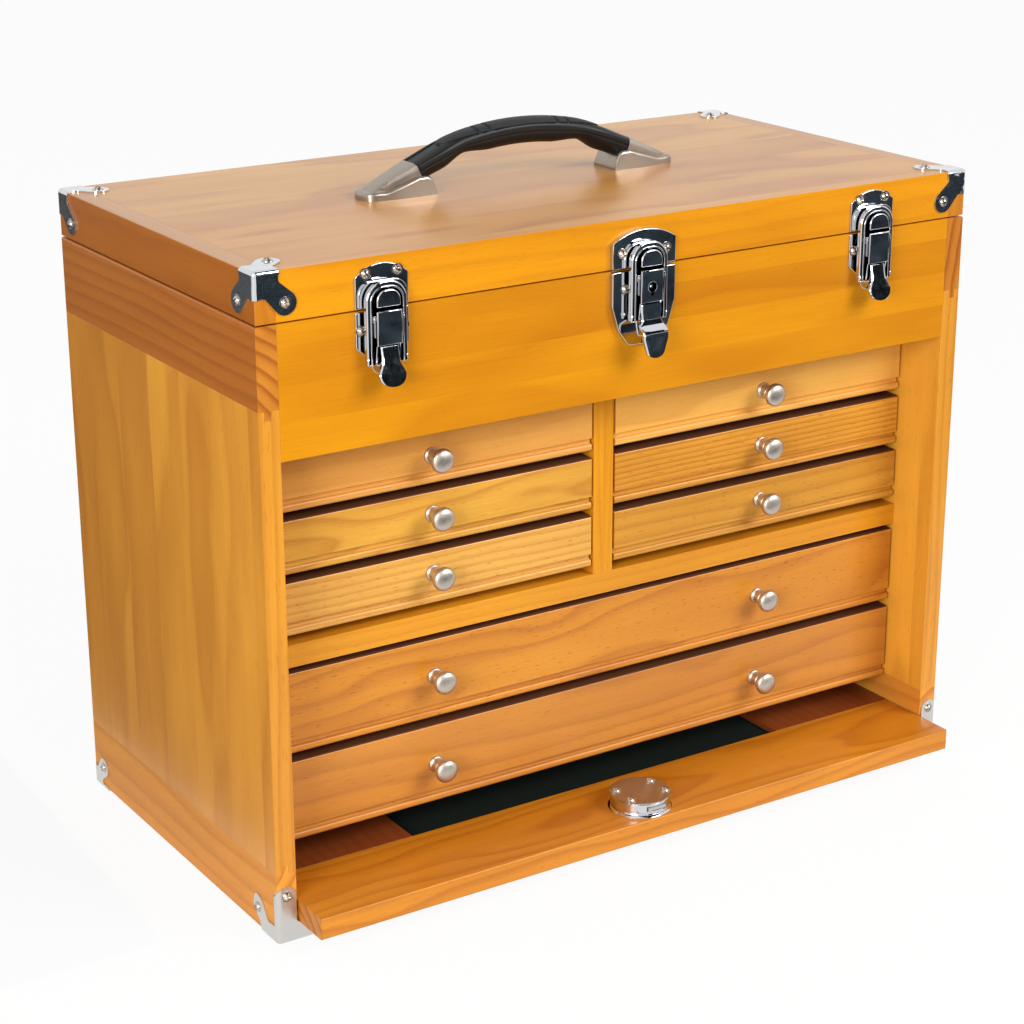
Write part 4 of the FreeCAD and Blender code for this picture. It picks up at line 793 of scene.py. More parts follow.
panelForm = {"front": -29.0, "back": 251.0, "low": 12.5, "high": 26.5, "left": 13.5, "right": 496.5,
             "railBack": 33.6, "tailFront": 201.0, "stile": 98.0, "edge": 1.2}
feltForm = {
    "base": 21.5, "thick": 1.5, "inset": 0.4, "steps": (72, 42),
    "wave": 0.08, "waveAlong": 0.21, "waveAcross": 0.17, "waveStart": 1.3, "rimDrop": 0.25, "sink": 0.1,
}


def addPanel():
    p = panelForm
    around = (p["left"], p["front"], p["low"]), (p["right"], p["back"], p["high"])
    railPine = pine("panelRailPine", "XYZ", "#C97E1C", "#9E5211", seed=203, spacing=7, contrast=0.5, wander=40,
                    heart=(-122, -6), toneSpread=0.05, endDark=0.1, endRings=1.9)
    # the stiles in a dark red-brown copy of the pine: painted shade, from where they lie under the lowest drawer
    paintedShadeStilePine = pine("panelStilePaintedShadePine", "YXZ", "#8A441E", "#703213", seed=211, spacing=8, contrast=0.4, pith=60,
                     endDark=0.0)
    inside = p["railBack"], p["tailFront"]
    rails = [((p["left"], p["right"]), ys) for ys in ((p["front"], inside[0]), (inside[1], p["back"]))]
    stiles = [(xs, inside) for xs in ((p["left"], p["left"] + p["stile"]), (p["right"] - p["stile"], p["right"]))]
    for name, spans, wood in (("panelRails", rails, railPine), ("panelStiles", stiles, paintedShadeStilePine)):
        boards = [easedBoard(box(xs, ys, (p["low"], p["high"])), around, p["edge"]) for xs, ys in spans]
        addPiece(name, merged(boards), "front_panel", wood, "lacquered_pine", ("panel_frame",))
    coatNode("panel_infill", insidePine)


def addFelt():
    # the felt lining of the panel's recess, a laid sheet with a soft, faintly uneven nap
    p, f = panelForm, feltForm
    low = p["left"] + p["stile"], p["railBack"]
    high = p["right"] - p["stile"], p["tailFront"]
    size = [high[i] - low[i] - 2 * f["inset"] for i in (0, 1)]
    across, along = f["steps"]
    bm = bmesh.new()
    grid = []
    for i in range(across + 1):
        column = []
        for j in range(along + 1):
            u, v = i / across, j / along
            x, y = low[0] + f["inset"] + size[0] * u, low[1] + f["inset"] + size[1] * v
            wave = f["wave"] * sin(x * f["waveAlong"] + f["waveStart"]) * cos(y * f["waveAcross"])
            drop = f["rimDrop"] if min(u, v, 1 - u, 1 - v) == 0 else 0
            column.append(bm.verts.new((x, y, f["base"] + f["thick"] - f["sink"] + (wave - drop))))
        grid.append(column)
    for i in range(across):
        for j in range(along):
            bm.faces.new((grid[i][j], grid[i + 1][j], grid[i + 1][j + 1], grid[i][j + 1]))
    extruded = bmesh.ops.extrude_face_region(bm, geom=bm.faces[:])
    for vert in (v for v in extruded["geom"] if isinstance(v, bmesh.types.BMVert)):
        vert.co.z = f["base"]
    piece = addPiece("panelFelt", bm, "front_panel", felt("greenFelt", "#0D1911", "#0A120D"), "green_felt",
                     ("panel_felt",))


def crossScrew(radius=3.5, rise=2.0, arm=2.1, halfSlot=0.42, deep=1.1):
    # a pan head with a cross recess, on z = 0: a dome on a thin dished flange
    ball = (radius ** 2 + rise ** 2) / (2 * rise)
    half = acos((ball - rise) / ball)
    dome = [(ball * sin(half * (1 - t)), rise - ball + ball * cos(half * (1 - t)))
            for t in (0.05, 0.15, 0.3, 0.45, 0.6, 0.75, 0.9, 1.0)]
    flange = [(0, -0.3), (radius, -0.3), (radius, 0.2), (radius * 0.9, 0.3), (radius * 0.78, 0.18)]
    head = lathe(flange + [(r * 0.76, h + 0.18 * (1 - h / rise)) for r, h in dome], 28)
    zs = rise - deep, rise + 0.5
    arms, slot = (-arm, arm), (-halfSlot, halfSlot)
    return combined(head, [box(arms, slot, zs), box(slot, arms, zs)], "DIFFERENCE")


lockForm = {
    "at": (255.0, -7.3, 26.5), "steps": 72, "barrelSteps": 40,
    "can": [(0, 0.0), (20.5, 0.0), (20.5, 0.3), (20.2, 0.7), (19.5, 1.3), (18.9, 1.5), (18.6, 2.0), (18.6, 2.9),
            (19.0, 3.3), (19.0, 8.3), (18.6, 8.7), (18.6, 9.0), (0, 9.0)],
    "boltSlot": ((-7.1, 7.1), (-21, -10), (3.9, 7.1)),
    "barrel": [(6, -14), (9.5, -14), (9.5, 0.5), (6, 0.5), (6, -14)],
    "cover": [(0, 9.0), (19.1, 9.0), (19.5, 9.3), (19.5, 9.7), (19.2, 9.95), (18.8, 10.0), (0, 10.0)],
    "coverHigh": 10, "screw": dict(radius=4.0, rise=2.1, arm=2.3, halfSlot=0.5, deep=1.2), "screwAt": (13.3, 8),
    "bolt": ((-6.8, 6.8), (-19, 1), (30.7, 33.3)), "boltEdge": 0.4,    # its heights are from the floor
    "plug": [(0, -14), (5.95, -14), (5.95, 2.6), (0, 2.6)], "plugEdge": 0.25,
    "keySlot": ((-1.2, 1.2), (-4.2, 4.2), (-17, -11)),
}


def addLock():
    f = lockForm
    x, y, z = at = Vector(f["at"])
    place = Matrix.Translation(at)
    shell = combined(lathe(f["can"], f["steps"]), [box(*f["boltSlot"])], "DIFFERENCE")
    barrel = lathe(f["barrel"], f["barrelSteps"])
    small = crossScrew(**f["screw"])
    right, back = f["screwAt"]
    heads = [moved(small, Matrix.Translation((x + i * right, y + j * back, z + f["coverHigh"])))
             for i in (-1, 1) for j in (-1, 1)]
    xs, ys, zs = f["bolt"]
    bolt = ease(box([x + a for a in xs], [y + a for a in ys], zs), f["boltEdge"])
    plug = combined(lathe(f["plug"], f["barrelSteps"]), [box(*f["keySlot"])], "DIFFERENCE")
    plug = ease(moved(plug, place), f["plugEdge"], sharpest=60)
    for name, bm, body, metal, slotName, node in (
            ("lockCan", merged([moved(shell, place), moved(barrel, place)]), "front_panel", "chrome", "chrome",
             "lock_body"),
            ("lockCover", moved(lathe(f["cover"], f["steps"]), place), "front_panel", "cover", "satin_nickel",
             "lock_cover"),
            ("lockCoverScrews", merged(heads), "front_panel", "screw", "nickel_screws", "lock_cover"),
            ("lockBolt", bolt, "lock_bolt", "hinge", "hinge_steel", "lock_bolt"),
            ("lockPlug", plug, "lock_plug", "hinge", "hinge_steel", "lock_plug")):
        addPiece(name, bm, body, metals[metal], slotName, (node,))


addPanel()
addFelt()
addLock()
print("front panel and lock")


guardForm = {
    # mm: the upright bend, how much tighter the bends over the top are, and the worn edges
    "bend": 3.4, "tighter": 0.9, "edge": 0.25,
    "block": 60, "overlap": 1.5,
    # flat faces from the corner, as (a, b, rounding)
    "strap": [(-1, -1), (27, -1), (12, 12.6, 2), (12, 36, 6.4), (-1, 36, 6.4)],
    "ankle": [(-1.5, -1), (20, -1), (21, 5, 4), (30, 14, 5), (27, 24, 4), (19, 21, 4), (11, 10, 3), (1.6, 11),
              (1.6, 29.6), (-1.5, 29.6)],
    "toe": [(-1.5, -1.5), (27, -1.5), (27, 0.5), (15.4, 15.4, 4), (0.5, 20), (-1.5, 20)],
    # square, across, waist, lobe's middle, lobe's radius
    "lid": (15.4, 14.5, 6.0, 18.5, 7.0), "heel": (13.5, 12.0, 5.0, 15.2, 6.5),
}


def lobedFace(square, across, waist, lobe, radius):
    # a guard's face: a square at the corner and a round lobe on its diagonal
    out = guardForm["overlap"]
    arc = arcPoints((lobe, lobe), radius, -45, 135, 16)
    corner = [(-out, -out), (square, -out), (across, waist, 3)]
    return rounded(corner + arc + [(waist, across, 3), (-out, square)], 15)


def guardShell(top, front, side, up):
    # a thin skin bent round the corner at the origin; up is 1 for a foot, -1 for a lid corner
    f = guardForm

    def block(start, radius):
        far = f["block"]
        bm = box((start, far), (start, far), sorted((up * start, up * far)))
        ease(bm, radius, 6, lambda spot, edge: abs(spot.x - start) + abs(spot.y - start) < touching)
        return ease(bm, radius - f["tighter"], 4, lambda spot, edge: abs(spot.z - up * start) < touching)
    skin = combined(block(-1, f["bend"]), [block(0, f["bend"] - 1)], "DIFFERENCE")
    out, reach = f["overlap"], f["bend"] - f["tighter"]
    cutters = [prism([(a, up * b) for a, b in front], 1, -out, reach),
               prism([(a, up * b) for a, b in side], 0, -out, reach),
               prism(top, 2, *sorted((-out * up, reach * up)))]
    shell = combined(skin, [combined(cutters[0], cutters[1:], "UNION")], "INTERSECT")
    return ease(shell, f["edge"], sharpest=55)


def atCorners(shell, z, back):
    parts = []
    for right in (False, True):
        flip = Matrix.Diagonal((-1 if right else 1, -1 if back else 1, 1, 1))
        corner = chest["width"] if right else 0, chest["depth"] if back else 0, z
        parts.append(moved(shell, Matrix.Translation(corner) @ flip))
    return parts


def addGuards():
    f = guardForm
    lid, heel = lobedFace(*f["lid"]), lobedFace(*f["heel"])
    strap, ankle, toe = (rounded(f[name], 15) for name in ("strap", "ankle", "toe"))
    lidShell = guardShell(lid, lid, lid, -1)
    parts = atCorners(lidShell, chest["lidHigh"], False) + atCorners(lidShell, chest["lidHigh"], True)
    addPiece("lidCornerGuards", merged(parts), "lid", metals["pressed"], "chrome", ("top_corner_guards",),
             smoothAngle=40)
    parts = (atCorners(guardShell(toe, strap, ankle, 1), chest["bottom"], False)
             + atCorners(guardShell(toe, heel, heel, 1), chest["bottom"], True))
    addPiece("footCornerGuards", merged(parts), "case", metals["guard"], "brushed_steel_guards",
             ("bottom_corner_guards",), smoothAngle=40)


latchMiddles = {"left": 78.3, "centre": middle, "right": 431.7}
hingeMiddles = (90.0, 420.0)
screwForm = {
    # how far from the corner or the latch's middle, and how high or far back
    "lobe": 18.5, "strap": (6, 30.8), "ankle": (24, 15), "heel": (15.2, 16.2), "turn": 0.7,
    "base": (13.4, 364), "hinge": 16, "hingeHeights": (361, 385.5), "hingeOut": 1.2,
    "strike": {"side": (10.2, 396, -1.2), "centre": (15.8, 385.5, -3.6)},
}


def addScrews():
    f, w, depth, high = screwForm, chest["width"], chest["depth"], chest["lidHigh"]
    lobe, (strapIn, strapUp), (ankleIn, ankleUp), (heelIn, heelUp) = (
        f[name] for name in ("lobe", "strap", "ankle", "heel"))
    lid, case = [], []
    for x, i in ((0, 1), (w, -1)):
        for y, j in ((0, 1), (depth, -1)):
            lid += [((x + i * lobe, y - j, high - lobe), (0, -j, 0)),
                    ((x - i, y + j * lobe, high - lobe), (-i, 0, 0)),
                    ((x + i * lobe, y + j * lobe, high + 1), (0, 0, 1))]
        case += [((x + i * strapIn, -1, strapUp), (0, -1, 0)), ((x - i, ankleIn, ankleUp), (-i, 0, 0)),
                 ((x + i * heelIn, depth + 1, heelUp), (0, 1, 0)), ((x - i, depth - heelIn, heelUp), (-i, 0, 0))]
    for name, x in latchMiddles.items():
        reach, height, out = f["strike"]["centre" if name == "centre" else "side"]
        for side in (-1, 1):
            case.append(((x + side * f["base"][0], out, f["base"][1]), (0, -1, 0)))
            lid.append(((x + side * reach, out, height), (0, -1, 0)))
    for x in hingeMiddles:
        for side in (-1, 1):
            for spots, height in zip((case, lid), f["hingeHeights"]):
                spots.append(((x + side * f["hinge"], depth + f["hingeOut"], height), (0, 1, 0)))
    head = crossScrew()
    for name, spots, body in (("lidScrewHeads", lid, "lid"), ("caseScrewHeads", case, "case")):
        parts = [moved(head, facing(way, place) @ Matrix.Rotation(f["turn"] * k, 4, "Z"))
                 for k, (place, way) in enumerate(spots)]
        addPiece(name, merged(parts), body, metals["screw"], "nickel_screws", (body + "_screws",), smoothAngle=40)


addGuards()
addScrews()
print("guards and screws")


latchForms = {
    # mm: u across from the latch's middle, w out from the front face, z up from the floor
    "side": {"shift": 0.0, "plate": 1.2, "half": 16.9, "end": 337.5, "foot": 9.0, "tip": 5.4, "shoulder": 394.2,
             "crown": 401.2, "edge": 0.55, "boss": (15.5, 391.4, 8), "bossOut": 2.4, "bossEdge": (0.4, 3),
             # the tab below the lever: half its outline as (u, z, rounding), and its fold as (w, z)
             "tab": [(-5.7, 355.2, 0.4), (-5.6, 347, 6), (-8.8, 340.2, 1.2), (-7.8, 333.2, 6.5)],
             "fold": [(-9.3, 355.2), (-10.3, 350.5), (-15.0, 331.4)]},
    "centre": {"shift": 2.4, "plate": 3.6, "half": 22.7, "end": 329.0, "foot": 18.0, "tip": 10.8, "shoulder": 392.0,
               "crown": 398.8, "edge": 0.6, "boss": (15.2, 391.2, 11), "bossOut": 4.5, "bossEdge": (0.6, 4),
               "tab": [(-7.4, 355.2, 0.6), (-7.4, 350, 3), (-6.8, 345.6, 2), (-9.0, 341.4, 2), (-9.0, 335, 5),
                       (-5.4, 323.4, 5)],
               "fold": [(-11.7, 355.2), (-12.1, 346), (-12.6, 342.6), (-16.2, 340.0), (-17.1, 339.2),
                        (-17.4, 337.4), (-17.4, 323.4)]},
}
latchForm = {
    "baseTop": 374.7, "waist": 354, "ears": (-9.35, 8.35), "earThick": 1, "earOut": 9.2, "earHeights": (361, 373.4),
    "channel": (7.6, 365.5, 352, 4.6), "raised": 0.9, "strikeLow": 376.5, "bossLow": 376.8,
    "hook": (7.6, 377.6, 387.5, 6.5), "hookOut": 9.0, "hookEdge": 1.0,
    "leverOut": 9.8, "leverBack": 3.6, "leverHalf": 8, "leverHeights": (356.0, 375.7), "wall": 1.4,
    "hollowHeights": (350, 374.4),
    "cheeks": (6.8, 7.95), "stub": [(0, 0), (1.2, 0), (1.2, 4.8), (1.9, 4.8), (1.9, 5.2), (1.5, 5.6), (0, 5.7)],
    "stubAt": (7.3, -5.2, 347.75), "tabThick": 2.6, "keyHigh": 365.4,
    "keyhole": [(0, -3), (2.8, -3), (2.8, 3), (0, 3)], "keySlot": ((-1.1, 1.1), (360.2, 365)),
    "keyPin": [(0, -2.4), (1.1, -2.4), (1.1, -1.2), (0.8, -0.9), (0, -0.9)],
    "keyRim": [(2.8, -0.3), (3.05, 0.15), (3.35, 0.15), (3.5, -0.1), (2.8, -0.3)],
    "pivotPin": [(0, 0), (1.9, 0), (1.9, 0.6), (1.5, 0.7), (1.5, 18.7), (1.9, 18.8), (1.9, 19.4), (0, 19.4)],
    "pivotAt": (-9.7, -7, 371),
}
loopForm = {
    # half width, foot, top and rounding of each outline, and how far out the band and its thin rim lie
    "band": ((13, 344.5, 392, 11.5, 1), (10, 340, 388.3, 8, 0), (-6.8, -3.7)), "bandEdge": (2.0, 6),
    "rim": ((10.9, 344.8, 389.3, 9, 0.4), (9.9, 340, 388.2, 8, 0), (-7.2, -5)), "rimEdge": (0.4, 3),
    "through": -9,
}


def mirroredOutline(half):
    # a left half as (u, z, radius) from the top round to the bottom, with its mirror image
    return half + [(-p[0], *p[1:]) for p in reversed(half)]


def archOutline(half, low, high, crown, foot, turnPerStep=12):
    # a straight-sided plate with a rounded top
    return rounded([(-half, low, foot), (-half, high, crown), (half, high, crown), (half, low, foot)], turnPerStep)


def frontEdges(level, slack=0.02):
    # the edges that lie on the foremost plane
    def test(spot, edge):
        return abs(spot.y + level) < slack and all(abs(v.co.y + level) < slack for v in edge.verts)
    return test


def pressed(outline, out, back, width, segments):
    # a plate that stands out from the front face, with its front edges rounded
    return ease(prism(outline, 1, -out, back), width, segments, frontEdges(out))


def latchBase(form):
    f, half, end, plate = latchForm, form["half"], form["end"], form["plate"]
    outline = rounded(mirroredOutline([(-half, f["baseTop"], 1), (-half, f["waist"], 3),
                                       (-form["foot"], end + 10, 4), (-form["tip"], end, 6)]), 15)
    parts = [pressed(outline, plate, 0, form["edge"], 3)]
    for u in f["ears"]:
        ear = box((u, u + f["earThick"]), (-f["earOut"] - form["shift"], -0.5), f["earHeights"])
        parts.append(ease(ear, 0.4))
    wide, high, waist, tip = f["channel"]    # a raised channel that stiffens the plate under the lever
    channel = rounded(mirroredOutline([(-wide, high, 1), (-wide, waist, 3), (-tip, end + 5, 2)]), 15)
    parts.append(pressed(channel, plate + f["raised"], -0.2, 0.7, 3))
    return parts


def latchStrike(form):
    f, half, shoulder, crown = latchForm, form["half"], form["shoulder"], form["crown"]
    rise = crown - shoulder
    radius = (half ** 2 + rise ** 2) / (2 * rise)
    spreadAngle = 90 - acos(half / radius) * 180 / pi
    arch = arcPoints((0, crown - radius), radius, 90 + spreadAngle, 90 - spreadAngle, 14)
    low = f["strikeLow"]
    parts = [pressed([(-half, low)] + arch + [(half, low)], form["plate"], 0, form["edge"], 3)]
    bossHalf, bossHigh, bossRound = form["boss"]
    boss = archOutline(bossHalf, f["bossLow"], bossHigh, bossRound, 0.8)
    parts.append(pressed(boss, form["bossOut"], -0.4, *form["bossEdge"]))
    hookHalf, hookLow, hookHigh, hookRound = f["hook"]
    hook = archOutline(hookHalf, hookLow, hookHigh, hookRound, 0.8)
    parts.append(pressed(hook, f["hookOut"] + form["shift"], -0.4, f["hookEdge"], 4))
    return parts


def latchTab(form):
    # the folded tongue that a finger lifts: its outline, swept over the fold with rolled long edges
    outline = rounded(mirroredOutline(form["tab"]), 12)
    fold = form["fold"]

    def surface(z):
        # how far out the tab's face stands at the height z
        for (w0, z0), (w1, z1) in zip(fold, fold[1:]):
            if z >= z1:
                return w0 + (w1 - w0) * (z0 - z) / (z0 - z1)
        return fold[-1][0]

    bm = bmesh.new()
    rings = []
    for z in sorted({round(b, 3) for a, b in fold} | {z for a, z in outline}):
        crossings = [a0 + (a1 - a0) * (z - b0) / (b1 - b0)
                     for (a0, b0), (a1, b1) in zip(outline, outline[1:] + outline[:1])
                     if abs(b1 - b0) > 1e-9 and min(b0, b1) - 1e-6 <= z <= max(b0, b1) + 1e-6]
        if not crossings:
            continue
        half, w = max(0.05, max(crossings)), surface(z)
        roll, back = min(0.75, half * 0.3), w + latchForm["tabThick"]
        section = [(-half, back), (-half, w + 0.9), (-half + roll, w + 0.15), (-half * 0.5, w),
                   (half * 0.5, w), (half - roll, w + 0.15), (half, w + 0.9), (half, back)]
        rings.append([bm.verts.new((u, y, z)) for u, y in section])
    return skinned(bm, rings)


def latchLever(form, keyhole):
    f, s = latchForm, form["shift"]
    out, half, (low, high) = f["leverOut"] + s, f["leverHalf"], f["leverHeights"]
    body = prism([(-half, low), (-half, high), (half, high), (half, low)], 1, -out, -f["leverBack"] - s)
    hollow = box((-f["cheeks"][0], f["cheeks"][0]), (-out + f["wall"], 0), f["hollowHeights"])
    body = combined(body, [hollow], "DIFFERENCE")
    ease(body, 0.9, 3, lambda spot, edge: abs(spot.y + out) < 0.02
         and sum(abs(edge.verts[0].co[i] - edge.verts[1].co[i]) for i in (2, 0)) > 3, sharpest=60)
    parts = [body]
    stubX, stubY, stubZ = f["stubAt"]
    for side in (-1, 1):
        cheek = rounded([(-out + 0.6, 374.7, 1), (-4.5 - s, 374.7, 1), (-3.4 - s, 365, 3), (-3.4 - s, 345.3, 1.6),
                         (-7 - s, 345.3, 1.6), (-out + 1.2, 356.5)], 15)
        parts.append(ease(prism(cheek, 0, *sorted(side * u for u in f["cheeks"])), 0.25, 1))
        parts.append(moved(lathe(f["stub"], 20), facing((side, 0, 0), (side * stubX, stubY - s, stubZ))))
    parts.append(latchTab(form))
    whole = merged(parts)
    if keyhole:
        place = facing((0, -1, 0), (0, -out, f["keyHigh"]))
        slotXs, slotZs = f["keySlot"]
        slot = box(slotXs, (-out - 2, -out + 3), slotZs)
        whole = combined(whole, [moved(lathe(f["keyhole"], 32), place), slot], "DIFFERENCE")
        whole = merged([whole, moved(lathe(f["keyPin"], 20), place), moved(lathe(f["keyRim"], 40), place)])
    return whole


def latchLoop(form):
    # a bail with an arched top: a rounded outer rim and a thinner inner one
    s, parts = form["shift"], []
    for name in ("band", "rim"):
        outer, hole, (out, back) = loopForm[name]
        shapes = [archOutline(half, low, high, crown, foot, 9) for half, low, high, crown, foot in (outer, hole)]
        ring = combined(prism(shapes[0], 1, out - s, back - s), [prism(shapes[1], 1, loopForm["through"] - s, 0)],
                        "DIFFERENCE")
        parts.append(ease(ring, *loopForm[name + "Edge"], frontEdges(s - out)))
    return merged(parts)


def addLatches():
    bases, strikes, pins = [], [], []
    pinX, pinY, pinZ = latchForm["pivotAt"]
    for name, x in latchMiddles.items():
        form = latchForms["centre" if name == "centre" else "side"]
        place = Matrix.Translation((x, 0, 0))
        bases += [moved(part, place) for part in latchBase(form)]
        strikes += [moved(part, place) for part in latchStrike(form)]
        for label, shape in (("lever", latchLever(form, name == "centre")), ("loop", latchLoop(form))):
            node = f"{name}_latch_{label}"
            addPiece(f"{name}Latch{label.title()}", moved(shape, place), node, metals["chrome"], "chrome", (node,))
        turned = facing((1, 0, 0), (x + pinX, pinY - form["shift"], pinZ))
        pins.append(moved(lathe(latchForm["pivotPin"], 24), turned))
    pinX, pinY, pinZ = hingeForm["pinAt"]
    for x in hingeMiddles:
        turned = facing((1, 0, 0), (x + pinX, chest["depth"] + pinY, pinZ))
        pins.append(moved(lathe(hingeForm["pin"], 24), turned))
    addPiece("latchBases", merged(bases), "case", metals["chrome"], "chrome", ("latch_bases",))
    addPiece("latchStrikes", merged(strikes), "lid", metals["chrome"], "chrome", ("latch_strikes",))
    addPiece("pivotPins", merged(pins), "case", metals["hinge"], "hinge_steel", ("pivot_pins",))


hingeForm = {
    "half": 25, "thick": 1.2, "corner": 3, "jointCorner": 0.3, "pinAt": (-25, 3.1, 375.5),
    "knuckle": (1.25, 2.45, 2.75, 0.3),    # bore, shoulder and outer radius, and the bevel between the last two
    "pin": [(0, 0), (1.1, 0), (1.2, 0.2), (1.2, 49.8), (1.1, 50), (0, 50)],
    # the leaf's bottom and top, its knuckles along the pin, and the strip between leaf and knuckle
    "case": ((352, 372.15), [(-25, -8.5), (8.5, 25)], (372.1, 375.5)),
    "lid": ((378.85, 391), [(-8.2, 8.2)], (375.5, 378.9)),
}


def addHinges():
    f, y = hingeForm, chest["depth"]
    half, thick = f["half"], f["thick"]
    bore, shoulder, outer, bevel = f["knuckle"]
    for body in ("case", "lid"):
        (low, high), knuckles, strip = f[body]
        foot, top = (f["corner"], f["jointCorner"]) if body == "case" else (f["jointCorner"], f["corner"])
        parts = []
        for x in hingeMiddles:
            plate = rounded([(x - half, low, foot), (x + half, low, foot), (x + half, high, top),
                             (x - half, high, top)])
            parts.append(ease(prism(plate, 1, y, y + thick), 0.35))
            for start, end in knuckles:
                long = end - start
                roll = lathe([(bore, 0), (shoulder, 0), (outer, bevel), (outer, long - bevel), (shoulder, long),
                              (bore, long), (bore, 0)], 28)
                parts.append(moved(roll, facing((1, 0, 0), (x + start, y + f["pinAt"][1], f["pinAt"][2]))))
                parts.append(ease(box((x + start, x + end), (y, y + thick), strip), 0.2, 1))
        addPiece("hingeLeaves" + body.title(), merged(parts), body, metals["hinge"], "hinge_steel",
                 (f"hinge_{body}_leaves",))


addLatches()
addHinges()
print("latches and hinges")


gripForm = {
    "y": 134.0, "z": 405.0, "arc": 198.0, "peak": 33.5,      # mm: the arc that the grip follows, and its top
    "halfAngle": 23.5, "steps": 200, "around": 120,          # degrees of that arc on each side of the middle
    "wide": 9.0, "rise": 5.5, "drop": 7.2,                   # half the width, and the reach above and below the arc
    "flareWide": 1.5, "flareDrop": 4.0, "belly": 3.4, "endFall": 2.5,
    "flareSpan": (0.54, 0.78), "bellySpan": (0.28, 0.58), "fallSpan": (0.5, 0.95),    # shares of the half angle
    "insertEnd": 17.2, "insertEdge": 0.42, "ridges": (7.1, 9.5), "ridgeHalf": 0.22,
    "insertUp": 0.25, "ridgeDeep": 1.3, "rimHigh": 0.09, "rimIn": 0.93, "rimDeep": 0.9,
    "crease": -0.2, "creaseHigh": 0.06, "creaseIn": 0.965, "underIn": 0.985, "endIn": 0.94,
}


def gripSection(angle):
    # the grip's half width, rise above and drop below the arc: a belly, a neck on each side of it and flared ends
    g = gripForm

    def step(span):
        t = min(1.0, max(0.0, (abs(angle) / g["halfAngle"] - span[0]) / (span[1] - span[0])))
        return t * t * (3 - 2 * t)
    flare = step(g["flareSpan"])
    drop = g["drop"] + g["belly"] * (1 - step(g["bellySpan"])) + g["flareDrop"] * flare
    return g["wide"] + g["flareWide"] * flare, g["rise"] - g["endFall"] * step(g["fallSpan"]), drop


def insertEdge(angle):
    # how high up the section the soft insert begins; it runs to a point at both ends
    low = gripForm["insertEdge"]
    return low + (1 - low) * min(1.0, abs(angle) / gripForm["insertEnd"]) ** 3


def addGrip():
    g = gripForm
    steps, around, crease = g["steps"], g["around"], g["crease"]
    bm = bmesh.new()
    rings = []
    for i in range(steps + 1):
        angle = g["halfAngle"] * (2 * i / steps - 1)
        wide, rise, drop = gripSection(angle)
        ring, lean, edge = [], radians(angle), insertEdge(angle)
        onRidge = min(abs(abs(angle) - ridge) for ridge in g["ridges"]) < g["ridgeHalf"]
        for k in range(around):
            turn = 2 * pi * k / around
            c, s = cos(turn), sin(turn)
            u = wide * (abs(c) ** 0.85) * (1 if c > 0 else -1)
            v = (rise if s > 0 else drop) * (abs(s) ** 0.92) * (1 if s > 0 else -1)
            if s > edge:
                v += g["insertUp"] - (g["ridgeDeep"] if onRidge else 0)
            elif s > edge - g["rimHigh"]:
                u, v = u * g["rimIn"], v - g["rimDeep"]
            elif crease - g["creaseHigh"] < s < crease:
                u *= g["creaseIn"]
            elif s <= crease:
                u *= g["underIn"]
            if i in (0, steps):
                u, v = u * g["endIn"], v * g["endIn"]
            distance = g["arc"] + v
            ring.append(bm.verts.new((middle + distance * sin(lean), g["y"] + u,
                                      g["z"] + g["peak"] - g["arc"] + distance * cos(lean))))
        rings.append(ring)
    skinned(bm, rings, capped=False)
    bm.faces.new(rings[0][::-1])
    bm.faces.new(rings[-1])
    hard = gripPlastic("blackGripPlastic", "#0F1011", 0.42, 2200.0, 0.08)
    soft = gripPlastic("pebbledGripInsert", "#232426", 0.6, 1100.0, 0.5)

    def onInsert(face):
        ring, k = divmod(face.index, around)
        angle = g["halfAngle"] * (2 * (ring + 0.5) / steps - 1)
        return ring < steps and sin(2 * pi * (k + 0.5) / around) > insertEdge(angle)
    grip = addPiece("handleGrip", bm, "lid", hard, "grip_plastic", ("handle_grip",), smoothAngle=50)
    coatFaces(grip, soft, onInsert)


endForm = {
    # a shoe from its tip inwards, t from 0 to 1: mm from the middle of the handle, half width and height
    "shoeSteps": 24, "tip": 115.5, "long": 49.0, "half": 12.5, "narrow": 3.1, "narrowEnd": 0.6,
    "noseEnd": 0.12, "low": 5.2, "climb": 7.0, "climbFrom": 0.3, "climbLong": 0.45, "heelFrom": 0.86,
    "lipEnd": 0.06,
    # a wedge that rises from the tip to the grip
    "wedgeSteps": 12, "wedgeTop": (111.0, 5.0), "wedgeLow": (109.0, 3.2), "wedgeHalf": 7.6, "wedgeGrow": 3.2,
    "above": 2.8, "below": 9.4,      # mm above and below the arc where the wedge meets the grip
    "section": ((-1, 0), (-1, 0.62), (-0.86, 0.9), (-0.6, 1), (0.6, 1), (0.86, 0.9), (1, 0.62), (1, 0)),
}


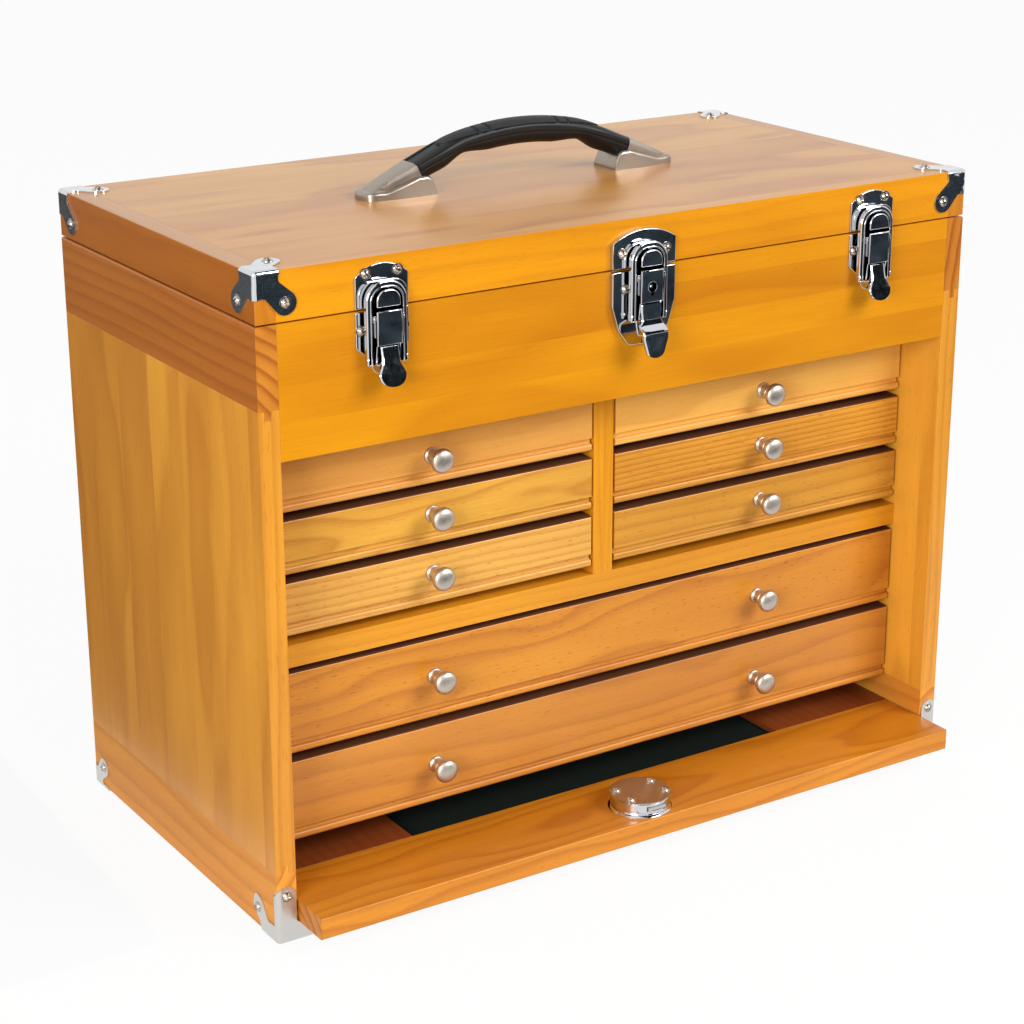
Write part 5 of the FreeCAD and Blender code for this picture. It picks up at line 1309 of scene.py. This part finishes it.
def handleShoe(side):
    f, bm, rings = endForm, bmesh.new(), []
    for k in range(f["shoeSteps"] + 1):
        t = k / f["shoeSteps"]
        half = f["half"] - f["narrow"] * max(0.0, 1 - t / f["narrowEnd"]) ** 1.6
        if t < f["noseEnd"]:
            half *= sqrt(1 - ((f["noseEnd"] - t) / f["noseEnd"]) ** 2) * 0.75 + 0.25
        high = f["low"] + f["climb"] * min(1.0, max(0.0, (t - f["climbFrom"]) / f["climbLong"]))
        if t > f["heelFrom"]:
            high *= sqrt(max(0.02, 1 - ((t - f["heelFrom"]) / (1 - f["heelFrom"])) ** 2))
        if t < f["lipEnd"]:
            high *= 0.55 + 0.45 * t / f["lipEnd"]
        corner = min(2.4, high * 0.45)
        section = rounded([(-half, 0), (-half * 0.96, high, corner), (half * 0.96, high, corner), (half, 0)], 15)
        rings.append([bm.verts.new((side * (f["tip"] - f["long"] * t), a, b)) for a, b in section])
    return skinned(bm, rings)


def handleWedge(side):
    f, g, bm, rings = endForm, gripForm, bmesh.new(), []
    lean = radians(g["halfAngle"])
    ends = []
    for start, reach in ((f["wedgeTop"], g["arc"] + f["above"]), (f["wedgeLow"], g["arc"] - f["below"])):
        ends.append((start, (reach * sin(lean), g["peak"] - g["arc"] + reach * cos(lean))))
    for k in range(f["wedgeSteps"] + 1):
        t = k / f["wedgeSteps"]
        upper, lower = ((start[0] + (end[0] - start[0]) * t, start[1] + (end[1] - start[1]) * t ** power)
                        for (start, end), power in zip(ends, (0.92, 1)))
        half = f["wedgeHalf"] + f["wedgeGrow"] * t
        rings.append([bm.verts.new((side * (lower[0] + (upper[0] - lower[0]) * b), a * half,
                                    lower[1] + (upper[1] - lower[1]) * b)) for a, b in f["section"]])
    return ease(skinned(bm, rings), 0.4, sharpest=25)


def addHandleEnds():
    place = Matrix.Translation((middle, gripForm["y"], gripForm["z"]))
    parts = [moved(shape(side), place) for side in (-1, 1) for shape in (handleShoe, handleWedge)]
    addPiece("handleEnds", merged(parts), "lid", metals["shoe"], "satin_nickel", ("handle_ends",), smoothAngle=40)


addGrip()
addHandleEnds()
print("handle")
